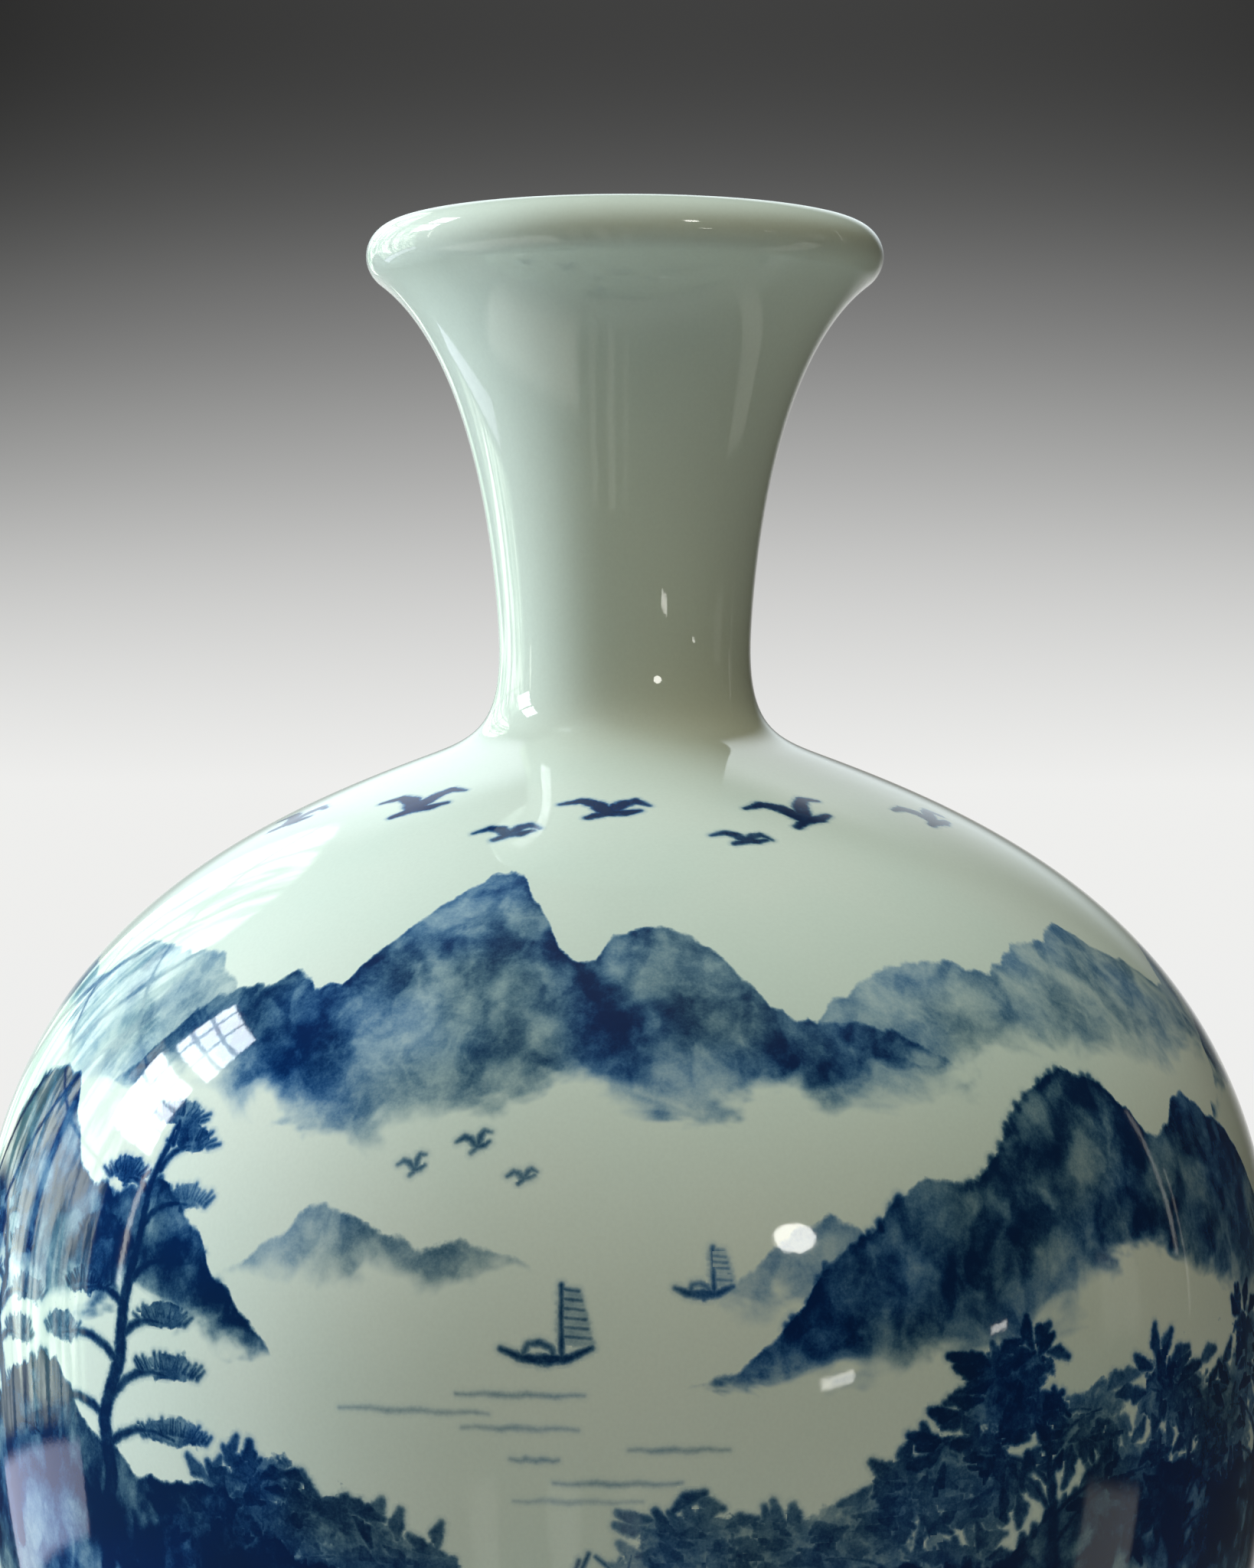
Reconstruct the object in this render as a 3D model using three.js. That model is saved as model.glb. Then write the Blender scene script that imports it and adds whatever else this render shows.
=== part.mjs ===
// Blue and white porcelain vase with a trumpet neck and a rolled lip.
// Millimetres, +Z up. The axis is Z and the foot ring stands on z = 0.
// The vase is thrown as four sections. Each seam is a lap joint: the lower section has a tongue on
// the inner half of its wall, the upper section has a rebate that drops over it, and a band of
// slip fills the groove that is left inside.
import * as THREE from 'three';

// Heights, each counted from the one before it
const heelHeight = 9; // foot ring, up to the heel where the body starts
const bellyHeight = 172.2; // heel to the widest part
const shoulderHeight = 103.2; // widest part to the root of the neck
const rootHeight = 19.5; // root of the neck to its waist
const flareHeight = 73.1; // waist to the middle of the lip

// Radii of the outside
const heelRadius = 66;
const bellyRadius = 120;
const rootRadius = 36.9;
const waistRadius = 23.5;
const lipRadius = 48.2;
const lipRoll = 5.8; // radius of the lip's round section

// Slopes, in degrees from horizontal
const heelSlope = 70;
const shoulderSlope = 20.3;
const lipSlope = 37; // the flare where it runs into the lip

// Fullness of the curves: the share of its height or spread that each one keeps its direction for
const heelFullness = 0.24;
const bellyFallFullness = 0.49;
const bellyRiseFullness = 0.652;
const shoulderFullness = 0.472;
const rootFullness = 0.674;
const waistFullness = 0.058;
const flareFullness = 0.354;

// Walls
const neckWall = 4;
const bodyWall = 5;
const heelWall = 6.5;
const floorThickness = 7;
const floorFillet = 15; // reach of the floor's rounded edge, along the floor and the wall
const lipTaper = 34; // length over which the lip thins down to the neck's wall
const wallTaper = 45; // length over which the neck's wall passes into the body's
const heelTaper = 90; // length over which the body's wall passes into the heel's

// Foot ring
const ringSetBack = 2; // the ring stands this far inside the heel
const ringShoulder = 1.2; // height of the slanted step from heel to ring
const ringWidth = 6.5;
const ringBevel = 1.1;
const recessDepth = 7; // hollow under the floor
const recessDraft = 1.5; // how much the hollow narrows upwards
const recessFillet = 2.5;
const recessDome = 0.8; // the floor's underside rises this much towards the axis

// Seams
const lapLength = 9; // length of the tongue
const seamGap = 0.3; // clearance between pieces that are joined with slip
const slipWidth = 3; // groove that the slip fills
const slipBead = 1; // how far the slip stands out of the wall inside
const footSeamHeight = 17; // heel to the foot's seam, along the wall

// Fineness
const facets = 60;
const neckOuterSteps = 16;
const neckInnerSteps = 12;
const bodyOuterSteps = 10; // in each half of the body
const bodyInnerSteps = 8;
const footOuterSteps = 2;
const lipSteps = 7;
const slipSteps = 3;
const filletSteps = 4;
const arcDivisions = 400; // steps in which a curve's length is measured
const fineSteps = 240; // steps in which the outline's turning is measured
const restTurn = 0.6; // degrees that a straight millimetre counts for, beside what the outline turns
const nearby = 0.01; // distance between the points that give the outline's direction
const roundOff = 1e-9; // slack for rounding when sums of turning are compared

const heelZ = heelHeight;
const bellyZ = heelZ + bellyHeight;
const rootZ = bellyZ + shoulderHeight;
const waistZ = rootZ + rootHeight;
const lipZ = waistZ + flareHeight;
const lipCentre = new THREE.Vector2(lipRadius - lipRoll, lipZ);

const glaze = { color: 0xcbd8cf, roughness: 0.08, metalness: 0 };
const paintedGlaze = { color: 0x9db1c4, roughness: 0.08, metalness: 0 };
const slip = { color: 0xe3dccd, roughness: 0.7, metalness: 0 };

function direction(degrees) {
	const angle = THREE.MathUtils.degToRad(degrees);
	return new THREE.Vector2(Math.cos(angle), Math.sin(angle));
}

function curve(start, startHandle, endHandle, end) {
	const bend = new THREE.CubicBezierCurve(start, startHandle, endHandle, end);
	bend.arcLengthDivisions = arcDivisions;
	return bend;
}

// The outside in section, from the lip down to the heel: flare, root, shoulder and belly.
function outsideCurves() {
	const lip = direction(lipSlope - 90).multiplyScalar(lipRoll).add(lipCentre);
	const waist = new THREE.Vector2(waistRadius, waistZ);
	const root = new THREE.Vector2(rootRadius, rootZ);
	const belly = new THREE.Vector2(bellyRadius, bellyZ);
	const heel = new THREE.Vector2(heelRadius, heelZ);
	const flareHandle = direction(lipSlope + 180).multiplyScalar(flareFullness * flareHeight).add(lip);
	const waistHandle = new THREE.Vector2(0, waistFullness * flareHeight).add(waist);
	const spread = rootRadius - waistRadius;
	const cornerDrop = spread * Math.tan(THREE.MathUtils.degToRad(shoulderSlope));
	const corner = new THREE.Vector2(waistRadius, rootZ + cornerDrop);
	const rootHandle = direction(180 - shoulderSlope).multiplyScalar(rootFullness * spread).add(root);
	const run = bellyRadius - rootRadius;
	const shoulderHandle = direction(-shoulderSlope).multiplyScalar(shoulderFullness * run).add(root);
	const riseHandle = new THREE.Vector2(0, bellyRiseFullness * shoulderHeight).add(belly);
	const fallHandle = new THREE.Vector2(0, -bellyFallFullness * bellyHeight).add(belly);
	const heelHandle = direction(heelSlope).multiplyScalar(heelFullness * bellyHeight).add(heel);
	return [
		curve(lip, flareHandle, waistHandle, waist),
		curve(waist, corner, rootHandle, root),
		curve(root, shoulderHandle, riseHandle, belly),
		curve(belly, fallHandle, heelHandle, heel),
	];
}

const outside = new THREE.CurvePath();
outsideCurves().forEach((bend) => outside.add(bend));
const [, rootLength, bellyLength, heelLength] = outside.getCurveLengths();

const neckSeam = rootLength + lapLength; // the whole lap lies on the shoulder's straight start
const bellySeam = bellyLength;
const footSeam = heelLength - footSeamHeight;
const floorEdge = heelLength - floorFillet; // where the floor's rounded edge starts on the wall

// Wall thickness at a length along the outside, counted from the lip.
function wallAt(length) {
	const { lerp, smoothstep } = THREE.MathUtils;
	const neck = lerp(2 * lipRoll, neckWall, smoothstep(length, 0, lipTaper));
	const body = lerp(neck, bodyWall, smoothstep(length, neckSeam, neckSeam + wallTaper));
	return lerp(body, heelWall, smoothstep(length, footSeam - heelTaper, slipAt(footSeam)));
}

// The outline's direction at a length, towards the heel.
function along(length) {
	const before = outside.getPoint(Math.max(length - nearby, 0) / heelLength);
	const after = outside.getPoint(Math.min(length + nearby, heelLength) / heelLength);
	return after.sub(before).normalize();
}

// The point at a length along the outside and a depth square into the wall.
function inWall(length, depth) {
	const way = along(length);
	const inward = new THREE.Vector2(way.y, -way.x).multiplyScalar(depth);
	return outside.getPoint(length / heelLength).add(inward);
}

// Lengths from one end to the other, closer together where the outline turns.
function stations(from, to, steps) {
	const lengths = Array.from({ length: fineSteps + 1 }, (_, i) => from + (to - from) * i / fineSteps);
	const rest = THREE.MathUtils.degToRad(restTurn) * Math.abs(to - from) / fineSteps;
	const turned = [0];
	for (let i = 1; i <= fineSteps; i++) {
		const turn = Math.abs(along(lengths[i]).cross(along(lengths[i - 1])));
		turned.push(turned[i - 1] + turn + rest);
	}
	return Array.from({ length: steps + 1 }, (_, i) => {
		const share = turned[fineSteps] * i / steps;
		return lengths[turned.findIndex((sum) => sum >= share - roundOff)];
	});
}

// Points on the outside, between two lengths.
function outerLine(from, to, steps) {
	return stations(from, to, steps).map((length) => inWall(length, 0));
}

// Points on the inside, between two lengths.
function innerLine(from, to, steps) {
	return stations(from, to, steps).map((length) => inWall(length, wallAt(length)));
}

// Where the inner half of a joint is: the middle of the slip's groove.
const slipAt = (seam) => seam - lapLength;

// The lower edge of the section above a seam, from the outside to the inside. Its outer half runs
// down to the seam, and its inner half ends above the slip.
function upperEdge(seam) {
	const half = wallAt(seam) / 2 - seamGap / 2;
	const innerEnd = slipAt(seam) - slipWidth / 2;
	return [inWall(seam - seamGap / 2, half), inWall(innerEnd, half)];
}

// The upper edge of the section below a seam, from the inside to the outside. Its tongue reaches
// up behind the outer half of the section above.
function lowerEdge(seam) {
	const half = wallAt(seam) / 2 + seamGap / 2;
	const tongueEnd = slipAt(seam) + slipWidth / 2;
	return [inWall(tongueEnd, half), inWall(seam + seamGap / 2, half)];
}

const innerEndAbove = (seam) => slipAt(seam) - slipWidth / 2;
const innerEndBelow = (seam) => slipAt(seam) + slipWidth / 2;

function revolve(name, profile, look) {
	const geometry = new THREE.LatheGeometry(profile, facets);
	geometry.rotateX(Math.PI / 2);
	const mesh = new THREE.Mesh(geometry, new THREE.MeshStandardMaterial(look));
	mesh.name = name;
	return mesh;
}

// A ring from its section, which is listed down the outside and back up the inside.
function ring(name, section, look) {
	return revolve(name, [...section, section[0].clone()].reverse(), look);
}

// The rolled lip, half a circle from the outside over the top to the inside.
function lipArc() {
	return Array.from({ length: lipSteps - 1 }, (_, i) => {
		const turn = direction(lipSlope - 90 + 180 * (i + 1) / lipSteps);
		return turn.multiplyScalar(lipRoll).add(lipCentre);
	});
}

function neck() {
	return ring('neck', [
		...outerLine(0, neckSeam - seamGap / 2, neckOuterSteps),
		...upperEdge(neckSeam),
		...innerLine(innerEndAbove(neckSeam), 0, neckInnerSteps),
		...lipArc().reverse(),
	], glaze);
}

function upperBody() {
	return ring('upper_body', [
		...outerLine(neckSeam + seamGap / 2, bellySeam - seamGap / 2, bodyOuterSteps),
		...upperEdge(bellySeam),
		...innerLine(innerEndAbove(bellySeam), innerEndBelow(neckSeam), bodyInnerSteps),
		...lowerEdge(neckSeam),
	], paintedGlaze);
}

function lowerBody() {
	return ring('lower_body', [
		...outerLine(bellySeam + seamGap / 2, footSeam - seamGap / 2, bodyOuterSteps),
		...upperEdge(footSeam),
		...innerLine(innerEndAbove(footSeam), innerEndBelow(bellySeam), bodyInnerSteps),
		...lowerEdge(bellySeam),
	], paintedGlaze);
}

// A rounded corner between two lines, as a quadratic curve.
function fillet(from, corner, to) {
	return new THREE.QuadraticBezierCurve(from, corner, to).getPoints(filletSteps);
}

// The foot ring's outline, from the heel to the axis under the floor.
function footRing() {
	const ringOut = heelRadius - ringSetBack;
	const ringIn = ringOut - ringWidth;
	const recessTop = ringIn - recessDraft;
	const corner = new THREE.Vector2(recessTop, recessDepth);
	return [
		new THREE.Vector2(ringOut, heelZ - ringShoulder),
		new THREE.Vector2(ringOut, ringBevel),
		new THREE.Vector2(ringOut - ringBevel, 0),
		new THREE.Vector2(ringIn + ringBevel, 0),
		new THREE.Vector2(ringIn, ringBevel),
		...fillet(
			new THREE.Vector2(recessTop, recessDepth - recessFillet),
			corner,
			new THREE.Vector2(recessTop - recessFillet, recessDepth),
		),
		new THREE.Vector2(0, recessDepth + recessDome),
	];
}

// The floor inside, from the axis to where its rounded edge runs into the wall.
function floorInside() {
	const floorZ = recessDepth + recessDome + floorThickness;
	const onWall = inWall(floorEdge, heelWall);
	const way = along(floorEdge);
	const corner = way.multiplyScalar((floorZ - onWall.y) / way.y).add(onWall);
	const onFloor = corner.clone().sub(new THREE.Vector2(floorFillet, 0));
	return [new THREE.Vector2(0, floorZ), ...fillet(onFloor, corner, onWall)];
}

function foot() {
	return revolve('foot', [
		...footRing().reverse(),
		...outerLine(heelLength, footSeam + seamGap / 2, footOuterSteps),
		...lowerEdge(footSeam).reverse(),
		inWall(innerEndBelow(footSeam), heelWall),
		...floorInside().reverse(),
	], paintedGlaze);
}

// The band of slip in a seam's groove, rounded where it stands out of the wall inside.
function slipSeam(name, seam) {
	const middle = slipAt(seam);
	const halfWidth = slipWidth / 2 - seamGap;
	const outerDepth = wallAt(seam) / 2 + seamGap / 2;
	const wall = wallAt(middle);
	const bead = Array.from({ length: slipSteps + 1 }, (_, i) => {
		const turn = direction(180 * i / slipSteps);
		return inWall(middle + halfWidth * turn.x, wall + slipBead * turn.y);
	});
	return ring(name, [
		inWall(middle - halfWidth, outerDepth),
		inWall(middle + halfWidth, outerDepth),
		...bead,
	], slip);
}

const vase = new THREE.Group();
vase.add(
	neck(),
	slipSeam('neck_slip_seam', neckSeam),
	upperBody(),
	slipSeam('belly_slip_seam', bellySeam),
	lowerBody(),
	slipSeam('foot_slip_seam', footSeam),
	foot(),
);

export default vase;
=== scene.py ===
# Blue and white porcelain vase, with a cobalt landscape of peaks, mist and water under its glaze.
import math
from dataclasses import dataclass

import bpy
import numpy as np
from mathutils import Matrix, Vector


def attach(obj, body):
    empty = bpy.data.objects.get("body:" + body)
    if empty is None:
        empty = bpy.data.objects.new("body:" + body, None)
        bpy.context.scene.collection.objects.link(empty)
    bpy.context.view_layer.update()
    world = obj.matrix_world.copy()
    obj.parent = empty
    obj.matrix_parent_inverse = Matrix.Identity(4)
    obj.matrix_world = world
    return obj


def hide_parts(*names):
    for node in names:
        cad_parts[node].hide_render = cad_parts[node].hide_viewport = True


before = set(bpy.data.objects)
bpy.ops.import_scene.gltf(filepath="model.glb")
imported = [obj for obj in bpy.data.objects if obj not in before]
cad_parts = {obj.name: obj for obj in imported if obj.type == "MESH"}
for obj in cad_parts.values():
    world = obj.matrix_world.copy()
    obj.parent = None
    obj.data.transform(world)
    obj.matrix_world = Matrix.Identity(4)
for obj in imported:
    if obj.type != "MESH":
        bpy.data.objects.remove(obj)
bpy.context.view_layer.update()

MM = 0.001

# Heights of the outside in metres, each counted from the one before it
HEEL_HEIGHT = 0.009
BELLY_HEIGHT = 0.1722
SHOULDER_HEIGHT = 0.1032
ROOT_HEIGHT = 0.0195
FLARE_HEIGHT = 0.0731

# Radii of the outside
HEEL_RADIUS = 0.066
BELLY_RADIUS = 0.12
ROOT_RADIUS = 0.0369
WAIST_RADIUS = 0.0235
LIP_RADIUS = 0.0482
LIP_ROLL = 0.0058

# Slopes from horizontal
HEEL_SLOPE = math.radians(70)
SHOULDER_SLOPE = math.radians(20.3)
LIP_SLOPE = math.radians(37)

# Fullness of the curves: the share of its height or spread that each one keeps its direction for
HEEL_FULLNESS = 0.24
BELLY_FALL_FULLNESS = 0.49
BELLY_RISE_FULLNESS = 0.652
SHOULDER_FULLNESS = 0.472
ROOT_FULLNESS = 0.674
WAIST_FULLNESS = 0.058
FLARE_FULLNESS = 0.354

# Walls, foot ring and seams
NECK_WALL = 0.004
BODY_WALL = 0.005
HEEL_WALL = 0.0065
FLOOR_THICKNESS = 0.007
FLOOR_FILLET = 0.015
LIP_TAPER = 0.034
WALL_TAPER = 0.045
HEEL_TAPER = 0.09
RING_SET_BACK = 0.002
RING_SHOULDER = 0.0012
RING_WIDTH = 0.0065
RING_BEVEL = 0.0011
RECESS_DEPTH = 0.007
RECESS_DRAFT = 0.0015
RECESS_FILLET = 0.0025
RECESS_DOME = 0.0008
LAP_LENGTH = 0.009
SEAM_GAP = 0.0003
SLIP_WIDTH = 0.003
SLIP_BEAD = 0.001
FOOT_SEAM_HEIGHT = 0.017

# Fineness of the meshes
CURVE_POINTS = 1500
BODY_SEGMENTS = 640
NECK_SEGMENTS = 288
FOOT_SEGMENTS = 320
SLIP_SEGMENTS = 160
PAINTED_STEP = 0.00122
NECK_STEP = 0.0011
NECK_INSIDE_STEP = NECK_STEP * 1.6
INSIDE_STEP = 0.0035
LIP_STEPS = 26
CORNER_STEPS = 5
ON_AXIS = MM / 100  # a smaller radius is one point
INSIDE_SHARE = 0.3  # of the outside's room in the UV map
UV_MARGIN = 0.004

HEEL_Z = HEEL_HEIGHT
BELLY_Z = HEEL_Z + BELLY_HEIGHT
ROOT_Z = BELLY_Z + SHOULDER_HEIGHT
WAIST_Z = ROOT_Z + ROOT_HEIGHT
LIP_Z = WAIST_Z + FLARE_HEIGHT
LIP_CENTRE = np.array([LIP_RADIUS - LIP_ROLL, LIP_Z])


# The outside in section: radius and height


def heading(angle):
    return np.array([math.cos(angle), math.sin(angle)])


def bezier(start, start_handle, end_handle, end):
    t = np.linspace(0, 1, CURVE_POINTS)[:, None]
    s = 1 - t
    return s**3 * start + 3 * s**2 * t * start_handle + 3 * s * t**2 * end_handle + t**3 * end


def outside_curves():
    """The flare, root, shoulder and belly, from the lip down to the heel."""
    lip = LIP_CENTRE + LIP_ROLL * heading(LIP_SLOPE - math.pi / 2)
    waist = np.array([WAIST_RADIUS, WAIST_Z])
    root = np.array([ROOT_RADIUS, ROOT_Z])
    belly = np.array([BELLY_RADIUS, BELLY_Z])
    heel = np.array([HEEL_RADIUS, HEEL_Z])
    spread = ROOT_RADIUS - WAIST_RADIUS
    corner = waist * [1, 0] + [0, ROOT_Z + spread * math.tan(SHOULDER_SLOPE)]
    run = BELLY_RADIUS - ROOT_RADIUS
    down_shoulder = heading(-SHOULDER_SLOPE)
    up_heel = heading(HEEL_SLOPE)
    return [
        bezier(lip, lip - FLARE_FULLNESS * FLARE_HEIGHT * heading(LIP_SLOPE),
               waist + [0, WAIST_FULLNESS * FLARE_HEIGHT], waist),
        bezier(waist, corner, root - ROOT_FULLNESS * spread * down_shoulder, root),
        bezier(root, root + SHOULDER_FULLNESS * run * down_shoulder,
               belly + [0, BELLY_RISE_FULLNESS * SHOULDER_HEIGHT], belly),
        bezier(belly, belly - [0, BELLY_FALL_FULLNESS * BELLY_HEIGHT],
               heel + HEEL_FULLNESS * BELLY_HEIGHT * up_heel, heel),
    ]


def arc_lengths(points):
    return np.concatenate([[0], np.cumsum(np.hypot(*np.diff(points, axis=0).T))])


curves = outside_curves()
outside = np.vstack([curves[0]] + [curve[1:] for curve in curves[1:]])
outside_lengths = arc_lengths(outside)
outside_ways = np.gradient(outside, outside_lengths, axis=0)
outside_ways /= np.linalg.norm(outside_ways, axis=1, keepdims=True)
ROOT_LENGTH, BELLY_LENGTH, HEEL_LENGTH = np.cumsum([arc_lengths(c)[-1] for c in curves])[1:]
NECK_SEAM = ROOT_LENGTH + LAP_LENGTH
BELLY_SEAM = BELLY_LENGTH
FOOT_SEAM = HEEL_LENGTH - FOOT_SEAM_HEIGHT
FLOOR_EDGE = HEEL_LENGTH - FLOOR_FILLET


def along(values, length):
    return np.stack([np.interp(length, outside_lengths, column) for column in values.T], axis=-1)


def inward(length):
    way = along(outside_ways, length)
    return np.stack([way[..., 1], -way[..., 0]], axis=-1)


def in_wall(length, depth):
    """Points at lengths along the outside and depths square into the wall."""
    return along(outside, length) + inward(length) * np.asarray(depth)[..., None]


def smooth(value, low, high):
    share = np.clip((value - low) / (high - low), 0, 1)
    return share * share * (3 - 2 * share)


def wall_at(length):
    neck_wall = 2 * LIP_ROLL + (NECK_WALL - 2 * LIP_ROLL) * smooth(length, 0, LIP_TAPER)
    body_wall = neck_wall + (BODY_WALL - neck_wall) * smooth(length, NECK_SEAM, NECK_SEAM + WALL_TAPER)
    heel_share = smooth(length, FOOT_SEAM - HEEL_TAPER, FOOT_SEAM - LAP_LENGTH)
    return body_wall + (HEEL_WALL - body_wall) * heel_share


# Runs of a section: rows of radius, height and the outward normal. The solid is to the right of
# the way that a run goes: down the outside, in under the foot and up the inside.


def run_of(points, normals):
    return np.hstack([points, normals])


def spaced(start, end, step):
    count = max(2, int(abs(end - start) / step) + 1)
    return np.linspace(start, end, count)


def outer_run(start, end, step):
    lengths = spaced(start, end, step)
    return run_of(in_wall(lengths, np.zeros(len(lengths))), -inward(lengths)), lengths


def inner_run(start, end, step=INSIDE_STEP):
    lengths = spaced(start, end, step)
    return smooth_run(in_wall(lengths, wall_at(lengths)))


def smooth_run(points):
    """A run whose normals follow its own turning."""
    points = np.array(points)
    way = np.gradient(points, arc_lengths(points), axis=0)
    way /= np.linalg.norm(way, axis=1, keepdims=True)
    return run_of(points, np.stack([-way[:, 1], way[:, 0]], axis=1))


def straight_runs(*corners):
    return [smooth_run([start, end]) for start, end in zip(corners, corners[1:])]


def arc_run(centre, radius, start, end, steps):
    angles = np.linspace(start, end, steps + 1)
    normals = np.stack([np.cos(angles), np.sin(angles)], axis=1)
    return run_of(centre + radius * normals, normals)


def rounded_corner(start, corner, end):
    t = np.linspace(0, 1, CORNER_STEPS + 1)[:, None]
    start, corner, end = (np.array(p) for p in (start, corner, end))
    return smooth_run((1 - t) ** 2 * start + 2 * t * (1 - t) * corner + t**2 * end)


def half_depth(seam, side):
    return wall_at(seam) / 2 + side * SEAM_GAP / 2


def above_slip(seam):
    return seam - LAP_LENGTH - SLIP_WIDTH / 2


def below_slip(seam):
    return seam - LAP_LENGTH + SLIP_WIDTH / 2


def edge_above(seam):
    """The lower edge of the section above a seam, from the outside in and up to the slip."""
    inner_end = above_slip(seam)
    return straight_runs(
        in_wall(seam, 0),
        in_wall(seam - SEAM_GAP / 2, half_depth(seam, -1)),
        in_wall(inner_end, half_depth(seam, -1)),
        in_wall(inner_end, wall_at(inner_end)),
    )


def edge_below(seam):
    """The upper edge of the section below a seam: the tongue, then out to the outside."""
    inner_end = below_slip(seam)
    return straight_runs(
        in_wall(inner_end, wall_at(inner_end)),
        in_wall(inner_end, half_depth(seam, 1)),
        in_wall(seam + SEAM_GAP / 2, half_depth(seam, 1)),
        in_wall(seam, 0),
    )


# Meshes


class Turned:
    """A mesh revolved from runs. The first run is the outside that shows."""

    def __init__(self, name, runs, segments, lengths=None):
        self.name = name
        self.runs = runs
        self.segments = segments
        self.lengths = lengths
        self.azimuths = np.linspace(-math.pi, math.pi, segments + 1)
        self.vertices, self.corners, self.starts = [], [], []
        self.normals, self.places = [], []
        self.build()

    def row(self, point):
        """The vertex numbers of one turned point, with the first repeated at the end."""
        radius, height = point
        start = len(self.vertices)
        if radius < ON_AXIS:
            self.vertices.append((0, 0, height))
            return np.full(self.segments + 1, start)
        turned = self.azimuths[:-1]
        self.vertices.extend(zip(radius * np.sin(turned), -radius * np.cos(turned),
                                 np.full(self.segments, height)))
        return start + np.concatenate([np.arange(self.segments), [0]])

    def turned_normals(self, normal):
        radial, up = normal
        return np.stack([radial * np.sin(self.azimuths), -radial * np.cos(self.azimuths),
                         np.full(self.segments + 1, up)], axis=1)

    def build(self):
        first = self.row(self.runs[0][0, :2])
        above = first
        closed = np.allclose(self.runs[0][0, :2], self.runs[-1][-1, :2])
        shares = [1] + [INSIDE_SHARE] * (len(self.runs) - 1)
        spans = [arc_lengths(run[:, :2]) * share for run, share in zip(self.runs, shares)]
        whole = sum(span[-1] for span in spans)
        done = 0
        for number, (run, span) in enumerate(zip(self.runs, spans)):
            places = (done + span) / whole
            done += span[-1]
            for i in range(1, len(run)):
                last = number == len(self.runs) - 1 and i == len(run) - 1
                below = first if last and closed else self.row(run[i, :2])
                self.band(above, below, run[i - 1, 2:], run[i, 2:], places[i - 1], places[i])
                above = below

    def band(self, above, below, normal_above, normal_below, place_above, place_below):
        """The faces between two turned rows."""
        j = np.arange(self.segments)
        up, down = self.turned_normals(normal_above), self.turned_normals(normal_below)
        corners = np.stack([above[j], below[j], below[j + 1], above[j + 1]], axis=1)
        normals = np.stack([up[j], down[j], down[j + 1], up[j + 1]], axis=1)
        u = np.stack([j, j, j + 1, j + 1], axis=1) / self.segments
        v = np.array([place_above, place_below, place_below, place_above])
        places = np.stack([u, np.broadcast_to(v, u.shape)], axis=2)
        keep = np.ones(4, bool)
        if above[0] == above[1]:
            keep[3] = False
        if below[0] == below[1]:
            keep[2] = False
        self.corners.append(corners[:, keep])
        self.normals.append(normals[:, keep])
        self.places.append(places[:, keep])

    def unrolled(self, places):
        """The front and the back half of the piece, one above the other in the map."""
        turn = (places[..., 0] * 2 + 0.5) % 2
        middle = turn.mean(axis=1, keepdims=True)
        turn = np.where(turn - middle > 1, turn - 2, turn)
        turn = np.where(middle - turn > 1, turn + 2, turn)
        half = np.floor(turn.mean(axis=1, keepdims=True))
        u, v = turn - half, (half % 2 + places[..., 1]) / 2
        return np.stack([UV_MARGIN + side * (1 - 2 * UV_MARGIN) for side in (u, v)], axis=-1)

    def object(self):
        sizes = np.concatenate([np.full(len(c), c.shape[1]) for c in self.corners])
        flat_corners = np.concatenate([c.reshape(-1) for c in self.corners])
        flat_normals = np.concatenate([n.reshape(-1, 3) for n in self.normals])
        flat_places = np.concatenate([self.unrolled(p).reshape(-1, 2) for p in self.places])
        mesh = bpy.data.meshes.new(self.name)
        mesh.vertices.add(len(self.vertices))
        mesh.vertices.foreach_set("co", np.array(self.vertices, np.float32).reshape(-1))
        mesh.loops.add(len(flat_corners))
        mesh.loops.foreach_set("vertex_index", flat_corners.astype(np.int32))
        mesh.polygons.add(len(sizes))
        mesh.polygons.foreach_set("loop_start", (np.cumsum(sizes) - sizes).astype(np.int32))
        mesh.update(calc_edges=True)
        layer = mesh.uv_layers.new(name="OFBake")
        layer.data.foreach_set("uv", flat_places.astype(np.float32).reshape(-1))
        mesh.polygons.foreach_set("use_smooth", np.ones(len(sizes), bool))
        mesh.normals_split_custom_set(flat_normals.astype(np.float32))
        piece = bpy.data.objects.new(self.name, mesh)
        bpy.context.scene.collection.objects.link(piece)
        return piece


def neck_section():
    outer, _ = outer_run(0, NECK_SEAM, NECK_STEP)
    lip = arc_run(LIP_CENTRE, LIP_ROLL, LIP_SLOPE + math.pi / 2, LIP_SLOPE - math.pi / 2, LIP_STEPS)
    return [outer, *edge_above(NECK_SEAM), inner_run(above_slip(NECK_SEAM), 0, NECK_INSIDE_STEP), lip]


def body_section(upper_seam, lower_seam):
    outer, lengths = outer_run(upper_seam, lower_seam, PAINTED_STEP)
    inner = inner_run(above_slip(lower_seam), below_slip(upper_seam))
    return [outer, *edge_above(lower_seam), inner, *edge_below(upper_seam)], lengths


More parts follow.
